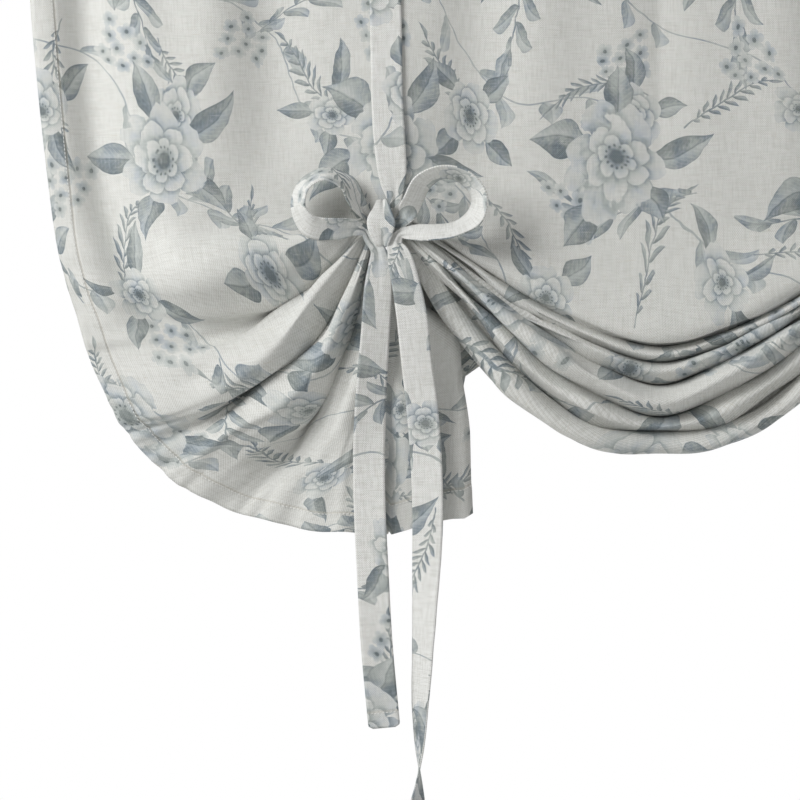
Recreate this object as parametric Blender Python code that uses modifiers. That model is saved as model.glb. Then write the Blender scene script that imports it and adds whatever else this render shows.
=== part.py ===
"""Tie-up curtain panel: one printed cloth sheet with a rod pocket, drawn up into a swag
between two bows. Each bow is tied from a front strap and a back strap.

Metres, +Z up, front towards -Y. The origin is the rod's axis at the panel's middle.
"""

import math

import bpy
import numpy as np

# Cloth and header
CLOTH = 0.0010  # thickness of the single cloth
HEADER_WIDTH = 1.140  # hung width at the rod
ROD_ROOM = 0.0180  # half the pocket's open depth round the rod
POCKET_DROP = 0.070  # rod axis to the pocket's stitch line
STITCH_GAP = 0.0005  # the flap's stitched edge lies this far behind the front cloth
POCKET_SHOULDER = 0.006  # the pocket leaves the rod this far below its axis

# Where the panel is tied
KNOT_SPACING = 0.484  # between the two bows
KNOT_DROP = 0.700  # rod axis to the bows
KNOT_FORWARD = 0.033  # the gathered neck stands this far in front of the rod axis
NECK_HALF = 0.009  # half the length of the neck that the straps pass round
NECK_RISE = 0.013  # neck's top above the bow's middle
NECK_FALL = 0.015  # neck's bottom below it
FLANK = 0.293  # bow to the side edge, at the bow's level
SWAG_DROP = 0.201  # bow to the lowest fold between the bows
SKIRT_DROP = 0.270  # bow to the hem that hangs beneath it

# Slow waves of the hanging cloth: how long and how deep
LONG_WAVE = 0.162
LONG_WAVE_DEPTH = 0.0050
SHORT_WAVE = 0.093
SHORT_WAVE_DEPTH = 0.0032

# Straps
STRAP_WIDTH = 0.028
STRAP = 0.0016  # thickness, two layers of cloth
STRAP_CLEAR = 0.0008  # straps lie this far off the cloth where they are sewn

# The lists of folds and straps below
LIST_UNIT = 0.001  # one step of their figures
LISTED_WIDTH = 28  # what they call the whole width of a strap

# Mesh density
FLANK_COLUMNS = 9
SWAG_COLUMNS = 12
HUNG_ROWS = 6
FOLD_ROWS = 33
ARC_STEPS = 5
HUNG_STEP = 0.10  # how far apart the hung rows count beside the folds' 0 to 1
STRAP_STEPS = 3
STRAP_BEND = 0.12  # a strap's length that turns by more than this is cut into steps
STRAP_ACROSS = 2

CLOTH_COLOUR = (0.80, 0.80, 0.77, 1.0)
STRAP_COLOUR = (0.78, 0.79, 0.78, 1.0)

# The fold lines that run from a bow. Each is drawn by four places on the way out from the
# neck: (across, down, forward). Across and down are per cent of the span and drop of that
# side, and forward is list units in front of the rod's axis.
# Flank: from the bow to the side edge and then along the hanging hem.
FLANK_FOLDS = [
    ("level", [(29, -2, 24), (53, -1.5, 19), (76, -1.5, 15), (100, -1.5, 11)]),
    ("shoulder ridge", [(26, 7, 40), (49, 13, 31), (74, 17, 21), (96, 18.5, 12)]),
    ("shoulder valley", [(21, 19, 18), (41, 31.5, 23), (64.5, 39, 21), (89, 44, 13)]),
    ("upper tube ridge", [(22, 25, 48), (40, 47, 48), (60, 58.5, 34), (81, 63, 15)]),
    ("upper tube valley", [(19.5, 35, 12), (37, 51, 12), (55.5, 64, 16), (73, 74, 11)]),
    ("lower tube ridge", [(14, 33, 48), (27.5, 57, 49), (46.5, 69, 37), (63, 84, 14)]),
    ("lower tube valley", [(11.5, 38, 12), (21, 62, 8), (34, 79, 9), (46, 93.5, 8)]),
    ("skirt ridge", [(6, 36.5, 38), (12.5, 61, 34), (20, 81.5, 26), (25.5, 99, 18)]),
]
FLANK_TAIL = [
    ("skirt front", [(3.5, 35, 34), (6, 58, 30), (10, 80, 26), (12, 100, 22)]),
    ("skirt edge", [(0.2, 33, 22), (-0.4, 56, 17), (-0.5, 79, 13), (-0.5, 100, 10)]),
    ("hem behind", [(3, 30, 10), (4.5, 50, 5), (6, 69, 2), (7.5, 82, 0)]),
    ("hem rising", [(2.7, 23, 14), (4.5, 37, 8), (6, 46, 4), (7, 56, 2)]),
    ("hem at neck", [(3.4, 14, 22), (3.8, 18.5, 17), (4.4, 23, 12), (5, 27, 9)]),
]
# Swag: from the bow to the middle of the panel, and then back along the hem behind it.
SWAG_FOLDS = [
    ("level", [(27, -2, 21), (51, -1, 19), (76, 0, 19), (100, 0, 19)]),
    ("apron ridge", [(27, 8, 38), (51, 25, 42), (76, 39, 46), (100, 46, 48)]),
    ("apron valley", [(27, 12, 18), (51, 32, 15), (76, 46, 14), (100, 53, 14)]),
    ("first ridge", [(27, 14.5, 40), (51, 35, 42), (76, 49, 42), (100, 57, 42)]),
    ("first valley", [(27, 16.5, 20), (51, 37.5, 16), (76, 52, 14), (100, 60, 12)]),
    ("second ridge", [(27, 17.8, 34), (51, 39.5, 40), (76, 54, 44), (100, 64, 43)]),
    ("second valley", [(27, 19, 16), (51, 42, 12), (76, 59, 8), (100, 70, 7)]),
    ("third ridge", [(27, 21.5, 48), (51, 46, 52), (76, 66, 52), (100, 78, 50)]),
    ("third valley", [(27, 25.5, 16), (51, 53, 9), (76, 73, 7), (100, 84, 6)]),
    ("fourth ridge", [(27, 28.5, 42), (51, 60, 42), (76, 81, 40), (100, 88, 36)]),
    ("fourth valley", [(27, 32, 15), (51, 66, 9), (76, 87, 8), (100, 90, 12)]),
    ("lowest ridge", [(27, 45, 36), (51, 75, 38), (76, 93, 38), (100, 96, 34)]),
]
SWAG_TAIL = [
    ("lowest edge", [(27, 53, 22), (51, 80, 22), (76, 98, 22), (100, 100, 20)]),
    ("underside", [(27, 47, 6), (51, 73, 4), (76, 91, 2), (100, 93, 1)]),
    ("hem at middle", [(27, 40, -2), (51, 62, -4), (76, 73, -5), (100, 75, -5)]),
    ("hem a quarter", [(20, 30, 2), (40, 50, -4), (60, 65, -8), (78, 72, -9)]),
    ("hem a half", [(14.5, 26, 4), (29, 42, -4), (43, 55, -8), (56, 65, -9)]),
    ("hem turning", [(11, 27, 6), (20, 43, -2), (29, 58, -6), (38, 74, -8)]),
    ("panel behind", [(8.5, 33, 8), (14, 57, 2), (20, 82, -2), (26, 106, -5)]),
    ("panel edge", [(13, 30, 12), (25, 53, 7), (30, 87, 4), (32, 126, 2)]),
    ("panel front", [(7.5, 38, 16), (13.5, 67, 12), (19, 97, 10), (22, 129, 8)]),
    ("skirt front", [(4.5, 38, 24), (7.5, 69, 22), (10, 100, 20), (11.5, 132, 18)]),
    ("skirt edge", [(0.6, 38, 28), (0.4, 69, 26), (0.2, 100, 24), (0.2, 133, 22)]),
    ("hem rising", [(3.6, 30, 17), (3.8, 52, 12), (4.2, 75, 8), (4.6, 97, 6)]),
    ("hem at neck", [(4, 17, 23), (4, 23, 19), (3.8, 29, 15), (3.6, 36, 12)]),
]
# How far a tube bulges over the valley beside it, at the neck and at the four places.
FLANK_OVERHANG = (0.0, 0.38, 0.34, 0.05, 0.0)
SWAG_OVERHANG = (0.0, 0.30, 0.36, 0.34, 0.30)

# The straps, in list units from the bow's middle. Above the bow each lies on the cloth:
# (up, across, the strap's width there).
FRONT_RUN = [(628, 0, 28), (550, 0, 28), (470, 0, 28), (390, 0, 28), (310, 0, 28), (235, 0, 28),
             (160, 1, 28), (110, 2, 28), (75, 4, 28), (37, 7, 22)]
BACK_RUN = [(628, 0, 28), (550, 0, 28), (470, 0, 28), (390, 0, 28), (310, 0, 28), (235, 0, 28),
            (160, 0, 26), (110, 0, 24), (62, 0, 21), (30, 0, 16)]
# In the bow: (across, up, forward of the rod's axis), width, and that width's direction.
FRONT_BOW = [
    ((8, 20, 34.9), 12, (1, -0.1, 0)),
    ((5, 9, 35.1), 9, (0.9, -0.5, 0)),
    ((-3, 2, 35.1), 9, (0.3, -1, 0)),
    ((-11, 3, 35.6), 9, (0, -1, 0)),
    ((-16, 8, 39), 11, (-0.4, -0.8, 0.4)),
    ((-24, 20, 45), 20, (-0.7, -0.3, 0.8)),
    ((-34, 36, 52), 27, (-0.5, -0.3, 1)),
    ((-54, 44, 56), 27, (0, -0.45, 1)),
    ((-72, 33, 57), 27, (0.4, -0.2, 1)),
    ((-76, 15, 57), 27, (0.5, 0.1, 1)),
    ((-66, -1, 56), 27, (0.3, 0.7, 0.8)),
    ((-42, -4, 53), 23, (0, 0.8, 0.7)),
    ((-25, -3, 47), 14, (0, 1, 0.4)),
    ((-17.5, -5.5, 43.4), 9, (0.4, 1, 0)),
    ((-15.2, -12, 43.0), 8, (1, 0.3, 0)),
    ((-15.2, -20, 44.2), 9, (1, 0.1, 0)),
    ((-9.5, -34, 45.8), 18, (1, 0, 0)),
    ((-6.5, -51, 46.4), 23, (1, 0, -0.1)),
    ((-9, -98, 47), 25, (1, 0, -0.25)),
    ((-12, -147, 47), 27, (1, 0, -0.3)),
    ((-14, -213, 46), 28, (1, 0, 0)),
    ((-13, -260, 45), 28, (1, 0, 0.1)),
    ((-11, -300, 45), 28, (1, 0, 0.1)),
    ((-7.5, -365, 45), 28, (1, 0.08, 0)),
    ((-0.5, -442, 45), 28, (1, 0.12, 0)),
]
BACK_BOW = [
    ((0, 6, 30.3), 12, (1, 0, 0)),
    ((0, -10, 30.5), 11, (1, 0, 0)),
    ((0, -17.4, 31.6), 11, (1, 0, 0)),
    ((0, -19, 34.4), 11, (1, 0, 0)),
    ((0, -16.4, 37.4), 11, (1, 0, 0)),
    ((-1, -4, 38), 11, (1, 0, 0)),
    ((-2, 12, 38), 13, (1, 0, 0)),
    ((-3, 19.4, 39.6), 14, (1, 0, 0)),
    ((-3, 21, 43), 17, (1, 0.1, 0)),
    ((-3.2, 15, 46.8), 22, (1, 0.2, 0)),
    ((-3.4, 0, 48.4), 24, (1, 0.25, 0)),
    ((-3, -13, 47), 20, (1, 0.15, 0)),
    ((-1.5, -18.8, 43.8), 11, (1, 0, 0)),
    ((-1, -16.6, 40.8), 9, (1, 0, 0)),
    ((0, -8, 40.6), 8, (1, -0.2, 0)),
    ((5.5, -0.5, 40.8), 8, (0.6, -1, 0)),
    ((14, 3, 43), 12, (0.3, -1, 0.4)),
    ((24, 20, 49), 22, (1, -0.5, -1)),
    ((34, 38, 54), 27, (0.6, -0.5, -1.2)),
    ((52, 46, 57), 27, (0, -0.5, -1.2)),
    ((70, 41, 58), 27, (-0.4, -0.4, -1.2)),
    ((83, 23, 58), 27, (-0.7, 0, -1.2)),
    ((79, 7, 57), 27, (-0.5, 0.5, -1)),
    ((62, -4, 56), 25, (-0.1, 0.6, -1)),
    ((40, -7, 53), 20, (0, 0.7, -0.7)),
    ((22, -7, 47), 13, (0, 1, -0.3)),
    ((13.5, -8, 44), 9, (-0.5, 1, 0)),
    ((11, -14, 45), 10, (-1, 0.2, 0)),
    ((13, -28, 49), 20, (-1, 0, 0)),
    ((18, -55, 51), 26, (-1, 0, 0)),
    ((22, -80, 51), 27, (-1, 0, 0.1)),
    ((27, -114, 50), 27, (-1, 0, 0.1)),
    ((33, -164, 48), 28, (-1, 0, 0)),
    ((37.5, -248, 46), 28, (-1, 0, 0.3)),
    ((37, -285, 46), 28, (-1, 0, 0.45)),
    ((35, -332, 46), 28, (-1, 0, 0.85)),
    ((33.5, -368, 46), 28, (-1, 0, 1.15)),
    ((31, -422, 46), 28, (-1, 0, 1.8)),
    ((30.5, -458, 46), 28, (-0.26, 0, 1)),
    ((30, -485, 46), 28, (0.1, 0, 1)),
    ((27, -532, 46), 28, (1.2, 0, 1)),
]


def clear_scene():
    for obj in list(bpy.data.objects):
        bpy.data.objects.remove(obj, do_unlink=True)


def material(name, colour, roughness):
    made = bpy.data.materials.new(name)
    made.use_nodes = True
    shader = made.node_tree.nodes["Principled BSDF"]
    shader.inputs["Base Color"].default_value = colour
    shader.inputs["Roughness"].default_value = roughness
    shader.inputs["Metallic"].default_value = 0.0
    return made


def smooth_through(knots, values, at):
    """A cubic through values at rising knots, with slopes from each point's two neighbours."""
    knots, values, at = np.asarray(knots, float), np.asarray(values, float), np.asarray(at, float)
    spread = (...,) + (None,) * (values.ndim - 1)
    steps = np.diff(knots)[spread]
    chords = np.diff(values, axis=0) / steps
    slopes = np.empty_like(values)
    slopes[0], slopes[-1] = chords[0], chords[-1]
    slopes[1:-1] = (chords[:-1] * steps[1:] + chords[1:] * steps[:-1]) / (steps[:-1] + steps[1:])
    i = np.clip(np.searchsorted(knots, at, side="right") - 1, 0, len(knots) - 2)
    step = steps[i]
    t = ((at - knots[i]) / (knots[i + 1] - knots[i]))[spread]
    return (
        values[i] * (2 * t**3 - 3 * t**2 + 1)
        + slopes[i] * step * (t**3 - 2 * t**2 + t)
        + values[i + 1] * (3 * t**2 - 2 * t**3)
        + slopes[i + 1] * step * (t**3 - t**2)
    )


def fold_net(folds, tail, overhang, span, drop):
    """The fold lines of one side as points (across, down, forward), neck to far end. Between
    a ridge and a valley there is one more line, the side of the tube that bulges over."""
    placed = []
    for _, places in folds + tail:
        line = [(NECK_HALF, 0.0, KNOT_FORWARD)]
        line += [(a / 100 * span, d / 100 * drop, f * LIST_UNIT) for a, d, f in places]
        placed.append(np.array(line))
    lines = [placed[0], placed[1]]
    lean = 0.5 + np.array(overhang)[:, None]
    for ridge in range(1, len(folds) - 1):
        here, after = placed[ridge], placed[ridge + 1]
        tube, valley = (here, after) if ridge % 2 else (after, here)
        side = tube + (valley - tube) * lean
        side[:, 2] = 0.5 * (tube[:, 2] + valley[:, 2])
        lines += [side, after]
    lines += placed[len(folds):]
    share = np.linspace(0, 1, len(lines))
    for line, at in zip(lines, share):
        line[0, 1] = -NECK_RISE + (NECK_RISE + NECK_FALL) * at
    return np.array(lines), len(lines) - len(tail) - 1


def net_lines(net, outs, symmetric):
    """The fold lines at every out (0 neck to 1 end). A symmetric side meets its mirror level."""
    knots = np.linspace(0, 1, net.shape[1])
    if symmetric:
        beyond = net[:, -2:-3:-1] * (-1, 1, 1) + net[:, -1:] * (2, 0, 0)
        net = np.concatenate([net, beyond], axis=1)
        knots = np.append(knots, 2 - knots[-2])
    return smooth_through(knots, net.transpose(1, 0, 2), outs).transpose(1, 0, 2)


def soft_waves(x):
    """Slow vertical waves of the hanging cloth, still at the bows where the straps lie."""
    from_bow = (np.abs(x) - KNOT_SPACING / 2) / (KNOT_SPACING / 2)
    still = 1 - np.exp(-((from_bow / 0.30) ** 2))
    long_wave = LONG_WAVE_DEPTH * np.cos(math.tau * x / LONG_WAVE)
    short_wave = SHORT_WAVE_DEPTH * np.sin(math.tau * x / SHORT_WAVE)
    return still * (long_wave + short_wave)


def front_seam_y():
    """The front cloth's middle at the stitch line."""
    return -(STITCH_GAP + CLOTH) / 2


def hung_y(share, level_y, header_x):
    """Depth of the cloth between the stitch line (0) and the bows' level (1)."""
    ease = share**2.4
    wave = soft_waves(header_x) * math.sin(math.pi * share) ** 0.7
    return front_seam_y() + (level_y - front_seam_y()) * ease + wave


def pocket_profile():
    """(y, z) down the section of the pocket, from the stitched flap up the back and over."""
    round_y = ROD_ROOM + CLOTH / 2
    path = [(-front_seam_y(), -POCKET_DROP), (round_y * 0.62, -POCKET_DROP * 0.48)]
    path += [(round_y, -POCKET_SHOULDER)]
    for i in range(1, ARC_STEPS):
        turn = math.pi * i / ARC_STEPS
        path.append((round_y * math.cos(turn), round_y * math.sin(turn)))
    path += [(-round_y, -POCKET_SHOULDER), (-round_y * 0.62, -POCKET_DROP * 0.48)]
    return path


def hung_rows(header_x, level):
    """The cloth from the stitch line to just above its level line, row by row."""
    rows = []
    for share in np.linspace(0, 1, HUNG_ROWS + 1)[:-1]:
        x = header_x + (level[:, 0] - header_x) * share**2.4
        z = -POCKET_DROP + (level[:, 2] + POCKET_DROP) * share
        rows.append(np.stack([x, hung_y(share, level[:, 1], header_x), z], axis=-1))
    return np.array(rows)


def side_sheet(folds, tail, overhang, span, drop, outs, outward, header_half):
    """Rows of one side of the left bow, from the stitch line down to the hem's end."""
    bow_x = -KNOT_SPACING / 2
    net, last_fold = fold_net(folds, tail, overhang, span, drop)
    lines = net_lines(net, outs, outward > 0)
    x = bow_x + outward * lines[..., 0]
    gathered = np.stack([x, -lines[..., 2], -KNOT_DROP - lines[..., 1]], axis=-1)
    header_x = bow_x + outward * (NECK_HALF + outs * (header_half - NECK_HALF))
    hung = hung_rows(header_x, gathered[0])
    # Down the cloth: hung rows to 0, folds from 0 to 1, and what follows them from 1 to 2.
    hung_places = HUNG_STEP * np.arange(-HUNG_ROWS, 0)
    fold_places = np.linspace(0, 1, last_fold + 1)
    tail_places = np.linspace(1, 2, len(tail) + 1)[1:]
    places = np.concatenate([hung_places, fold_places, tail_places])
    fold_rows = np.linspace(0, 1, FOLD_ROWS + 1)
    tail_rows = np.linspace(1, 2, len(SWAG_TAIL) + 1)[1:]
    rows = np.concatenate([hung_places, fold_rows, tail_rows])
    sheet = smooth_through(places, np.concatenate([hung, gathered]), rows)
    sheet[..., 0] = np.minimum(sheet[..., 0], 0)
    return header_x, sheet


def half_sheet():
    """Points of the left half as rows of (x, y, z), from the flap's edge over the rod to the hem."""
    flank_outs = np.linspace(1, 0, FLANK_COLUMNS + 1) ** 1.15
    swag_outs = np.linspace(0, 1, SWAG_COLUMNS + 1)
    outer = (HEADER_WIDTH - KNOT_SPACING) / 2
    flank_x, flank = side_sheet(
        FLANK_FOLDS, FLANK_TAIL, FLANK_OVERHANG, FLANK, SKIRT_DROP, flank_outs, -1, outer
    )
    inner = KNOT_SPACING / 2
    swag_x, swag = side_sheet(
        SWAG_FOLDS, SWAG_TAIL, SWAG_OVERHANG, inner, SWAG_DROP, swag_outs, 1, inner
    )
    header_x = np.append(flank_x, swag_x)
    pocket = []
    for y, z in pocket_profile():
        pocket.append(np.stack([header_x, 0 * header_x + y, 0 * header_x + z], axis=-1))
    return np.concatenate([np.array(pocket), np.concatenate([flank, swag], axis=1)])


def grid_object(name, points, colour_material):
    """An open surface through a grid of points."""
    count_rows, count_columns = points.shape[:2]
    corners = np.arange(count_rows * count_columns).reshape(count_rows, count_columns)
    faces = np.stack(
        [corners[:-1, :-1], corners[1:, :-1], corners[1:, 1:], corners[:-1, 1:]], axis=-1
    )
    mesh = bpy.data.meshes.new(name)
    mesh.from_pydata(points.reshape(-1, 3).tolist(), [], faces.reshape(-1, 4).tolist())
    mesh.materials.append(colour_material)
    return bpy.data.objects.new(name, mesh)


def thicken(obj, thickness):
    """Gives an open surface its cloth's thickness, half to each side."""
    shell = obj.modifiers.new("cloth", "SOLIDIFY")
    shell.thickness = thickness
    shell.offset = 0


def panel_object(cloth):
    panel = grid_object("panel", half_sheet(), cloth)
    mirror = panel.modifiers.new("other half", "MIRROR")
    mirror.merge_threshold = 0.0001
    thicken(panel, CLOTH)
    return panel


def on_cloth(run, face):
    """Stations of a strap that lies on the cloth, in front (1) or behind (-1)."""
    stations = []
    clear = CLOTH / 2 + STRAP_CLEAR + STRAP / 2
    for up, across, width in run:
        down = KNOT_DROP - up * LIST_UNIT - POCKET_DROP
        share = down / (KNOT_DROP - NECK_RISE - POCKET_DROP)
        y = hung_y(share, -KNOT_FORWARD, np.array([-KNOT_SPACING / 2]))[0] - face * clear
        stations.append(((across, up, -y / LIST_UNIT), width, (1, 0, 0)))
    return stations


def turning(places):
    """How far, in radians, a line turns at the ends of each of its lengths."""
    steps = np.diff(places, axis=0)
    steps /= np.maximum(np.linalg.norm(steps, axis=1), 1e-9)[:, None]
    turn = np.arccos(np.clip(np.sum(steps[1:] * steps[:-1], axis=1), -1, 1))
    turn = np.concatenate([[0], turn, [0]])
    return np.maximum(turn[1:], turn[:-1])


def strap_object(name, stations, side, colour_material):
    """A flat strap swept through its stations, on the left (-1) or the right (1) bow."""
    places = np.array([s[0] for s in stations], float) * LIST_UNIT
    widths = np.array([s[1] for s in stations], float)[:, None] * STRAP_WIDTH / LISTED_WIDTH
    sides = np.array([s[2] for s in stations], float)
    sides /= np.linalg.norm(sides, axis=1)[:, None]
    knots = np.append(0, np.cumsum(np.linalg.norm(np.diff(places, axis=0), axis=1)))
    at = [0.0]
    bends = turning(places)
    for near, far, bend in zip(knots[:-1], knots[1:], bends):
        steps = STRAP_STEPS if bend > STRAP_BEND else 1
        at += [near + (far - near) * (i + 1) / steps for i in range(steps)]
    path, across = smooth_through(knots, places, at), smooth_through(knots, sides, at)
    width = smooth_through(knots, widths, at)
    along = np.gradient(path, at, axis=0)
    along /= np.linalg.norm(along, axis=1)[:, None]
    across -= along * np.sum(across * along, axis=1)[:, None]
    across /= np.linalg.norm(across, axis=1)[:, None]
    spread = np.linspace(-0.5, 0.5, STRAP_ACROSS + 1)[None, :, None]
    points = path[:, None, :] + across[:, None, :] * width[:, None, :] * spread
    x = (points[..., 0] - KNOT_SPACING / 2) * -side
    placed = np.stack([x, -points[..., 2], points[..., 1] - KNOT_DROP], axis=-1)
    if side > 0:
        placed = placed[:, ::-1]
    strap = grid_object(name, placed, colour_material)
    thicken(strap, STRAP)
    return strap


def main():
    clear_scene()
    parts = bpy.data.collections.new("curtain_panel")
    bpy.context.scene.collection.children.link(parts)
    parts.objects.link(panel_object(material("printed_cloth", CLOTH_COLOUR, 0.9)))
    strap_cloth = material("strap_cloth", STRAP_COLOUR, 0.9)
    for side, label in ((-1, "left"), (1, "right")):
        front, back = on_cloth(FRONT_RUN, 1) + FRONT_BOW, on_cloth(BACK_RUN, -1) + BACK_BOW
        parts.objects.link(strap_object(label + "_front_strap", front, side, strap_cloth))
        parts.objects.link(strap_object(label + "_back_strap", back, side, strap_cloth))


main()
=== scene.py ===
"""Tie-up curtain panel in printed linen-look cloth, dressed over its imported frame.

Metres, +Z up, front towards -Y. The origin is the rod's axis at the panel's middle.
"""

import math

import bpy
import numpy as np
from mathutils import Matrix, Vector


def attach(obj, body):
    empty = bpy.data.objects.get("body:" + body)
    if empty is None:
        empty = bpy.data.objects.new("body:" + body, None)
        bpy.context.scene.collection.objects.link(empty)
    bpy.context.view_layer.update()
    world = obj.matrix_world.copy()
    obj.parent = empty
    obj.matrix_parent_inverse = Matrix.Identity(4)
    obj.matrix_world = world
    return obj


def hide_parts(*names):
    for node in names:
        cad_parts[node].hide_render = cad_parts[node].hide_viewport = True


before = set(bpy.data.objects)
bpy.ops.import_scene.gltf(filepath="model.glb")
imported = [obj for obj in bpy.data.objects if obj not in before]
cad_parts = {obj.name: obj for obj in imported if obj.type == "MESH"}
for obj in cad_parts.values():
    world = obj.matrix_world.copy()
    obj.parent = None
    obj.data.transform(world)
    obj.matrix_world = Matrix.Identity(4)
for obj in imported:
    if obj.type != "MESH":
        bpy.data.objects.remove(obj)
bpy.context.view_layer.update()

MM = 1000  # millimetres in a metre

# Cloth and header
CLOTH = 0.0009
HEM_THICKNESS = 0.0019
SIDE_HEM = 0.021
BOTTOM_HEM = 0.026
FLAT_WIDTH = 1.168
FLAT_FALL = 0.425  # flat cloth from the bows' level to the bottom hem
NECK_CLOTH = 0.17  # flat cloth that a bow gathers in
POCKET_CLOTH = 0.165  # flat cloth from the flap's edge round the pocket to the stitch line
HEADER_WIDTH = 1.140
ROD_ROOM = 0.0180
POCKET_DROP = 0.070
STITCH_GAP = 0.0005
FRONT_SEAM_Y = -(STITCH_GAP + CLOTH) / 2  # the front cloth's middle at the stitch line
FLAT_SCALE = FLAT_WIDTH / HEADER_WIDTH
# The pocket's back, from its stitches up: shares of its half depth and of its drop.
POCKET_SIDE = ((0.30, 0.76), (0.62, 0.48), (0.90, 0.24))
POCKET_LAST_STEP = 0.018  # flat cloth from the pocket's last row to the stitch line

# Where the panel is tied
KNOT_SPACING = 0.484
KNOT_DROP = 0.700
KNOT_FORWARD = 0.033
NECK_HALF = 0.009
NECK_RISE = 0.013
NECK_FALL = 0.015
FLANK = 0.293
SWAG_DROP = 0.201
SKIRT_DROP = 0.270
LEVEL_CLOTH = POCKET_CLOTH + KNOT_DROP - POCKET_DROP - NECK_RISE  # from the flap to the bows
HEM_CLOTH = LEVEL_CLOTH + FLAT_FALL  # the whole flat length

# Straps
STRAP_WIDTH = 0.028
STRAP = 0.0014
STRAP_CLEAR = 0.0008

# Mesh density
FLANK_COLUMNS = 54
SWAG_COLUMNS = 60
HUNG_ROWS = 30
FOLD_ROWS = 118
TAIL_ROWS = 34
POCKET_ARC = 12
HUNG_STEP = 0.10  # on the rows' scale the folds take 0 to 1, and the tail 1 to 2
HUNG_STEPS = 6  # steps that the hung cloth takes on the rows' scale
STRAP_PITCH = 0.0022
STRAP_ACROSS = 12
FLANK_CROWDING = 1.06  # above 1 the flank's columns crowd towards its edge
ROLL_STEPS = 240
MEETS = 1e-4  # nearer to the middle than this, a half meets the other one
JOINED = 1e-5  # and nearer than this, the two halves share their points

# The fold lines that run from a bow. Each is drawn by four places on the way out from the
# neck: (across, down, forward). Across and down are per cent of the span and drop of that
# side, and forward is millimetres in front of the rod's axis.
# Flank: from the bow to the side edge and then along the hanging hem.
FLANK_FOLDS = [
    ("level", [(29, -2, 24), (53, -1.5, 19), (76, -1.5, 15), (100, -1.5, 11)]),
    ("shoulder ridge", [(26, 7, 42), (49, 13, 37), (74, 17, 26), (96, 18.5, 13)]),
    ("shoulder valley", [(21, 19, 13), (41, 31.5, 14), (64.5, 38, 17), (89, 44, 12)]),
    ("upper tube ridge", [(22, 25, 48), (40, 47, 48), (60, 58.5, 34), (81, 63, 15)]),
    ("upper tube valley", [(19.5, 35, 12), (37, 51, 12), (55.5, 64, 16), (73, 74, 11)]),
    ("lower tube ridge", [(14, 33, 48), (27.5, 57, 49), (46.5, 69, 37), (63, 84, 14)]),
    ("lower tube valley", [(11.5, 38, 12), (21, 62, 8), (34, 79, 9), (46, 93.5, 8)]),
    ("skirt ridge", [(6, 36.5, 38), (12.5, 61, 34), (20, 81.5, 26), (25.5, 99, 18)]),
]
FLANK_TAIL = [
    ("skirt front", [(3.5, 35, 34), (6, 58, 34), (10, 80, 33), (12, 100, 31)]),
    ("skirt edge", [(0.2, 33, 28), (-0.4, 56, 30), (-0.5, 79, 31), (-0.5, 100, 31)]),
    ("hem behind", [(3, 30, 10), (4.5, 50, 5), (6, 69, 2), (7.5, 82, 0)]),
    ("hem rising", [(2.7, 23, 14), (4.5, 37, 8), (6, 46, 4), (7, 56, 2)]),
    ("hem at neck", [(3.4, 14, 22), (3.8, 18.5, 17), (4.4, 23, 12), (5, 27, 9)]),
]
# Swag: from the bow to the middle of the panel, and then back along the hem behind it.
SWAG_FOLDS = [
    ("level", [(27, -2, 21), (51, -1, 19), (76, 0, 19), (100, 0, 19)]),
    ("apron ridge", [(27, 8, 38), (51, 25, 42), (76, 39, 46), (100, 46, 48)]),
    ("apron valley", [(27, 12, 18), (51, 32, 15), (76, 46, 14), (100, 53, 14)]),
    ("first ridge", [(27, 14.5, 40), (51, 35, 42), (76, 49, 42), (100, 57, 42)]),
    ("first valley", [(27, 16.5, 20), (51, 37.5, 16), (76, 52, 14), (100, 60, 12)]),
    ("second ridge", [(27, 17.8, 34), (51, 39.5, 40), (76, 54, 44), (100, 64, 43)]),
    ("second valley", [(27, 19, 16), (51, 42, 12), (76, 59, 8), (100, 70, 7)]),
    ("third ridge", [(27, 21.5, 48), (51, 46, 52), (76, 66, 52), (100, 78, 50)]),
    ("third valley", [(27, 25.5, 16), (51, 53, 9), (76, 73, 7), (100, 84, 6)]),
    ("fourth ridge", [(27, 28.5, 42), (51, 60, 42), (76, 81, 40), (100, 88, 36)]),
    ("fourth valley", [(27, 32, 15), (51, 66, 9), (76, 87, 8), (100, 90, 12)]),
    ("lowest ridge", [(27, 45, 36), (51, 75, 38), (76, 93, 38), (100, 96, 34)]),
]
SWAG_TAIL = [
    ("lowest edge", [(27, 53, 22), (51, 80, 22), (76, 98, 22), (100, 100, 20)]),
    ("underside", [(27, 47, 6), (51, 73, 4), (76, 91, 2), (100, 93, 1)]),
    ("hem at middle", [(27, 40, -2), (51, 62, -4), (76, 73, -5), (100, 75, -5)]),
    ("hem a quarter", [(20, 30, 2), (40, 50, -4), (60, 65, -8), (78, 72, -9)]),
    ("hem a half", [(14.5, 26, 4), (29, 42, -4), (43, 55, -8), (56, 65, -9)]),
    ("hem turning", [(11, 27, 6), (19, 42, -2), (26, 54, -6), (31, 63, -8)]),
    ("panel behind", [(8.5, 33, 8), (14, 57, 2), (20, 82, -2), (26, 106, -5)]),
    ("panel edge", [(13, 30, 18), (26.5, 53, 21), (31, 87, 28), (31.8, 126, 32)]),
    ("panel front", [(7.5, 38, 26), (13.5, 67, 31), (19, 97, 36), (22, 129, 37)]),
    ("skirt front", [(4.5, 38, 32), (7.5, 69, 36), (10, 100, 38), (11.5, 132, 37)]),
    ("skirt edge", [(0.6, 38, 31), (0.4, 69, 33), (0.2, 100, 35), (0.2, 133, 35)]),
    ("hem rising", [(3.6, 30, 17), (3.8, 52, 12), (4.2, 75, 8), (4.6, 97, 6)]),
    ("hem at neck", [(4, 17, 23), (4, 23, 19), (3.8, 29, 15), (3.6, 36, 12)]),
]
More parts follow.
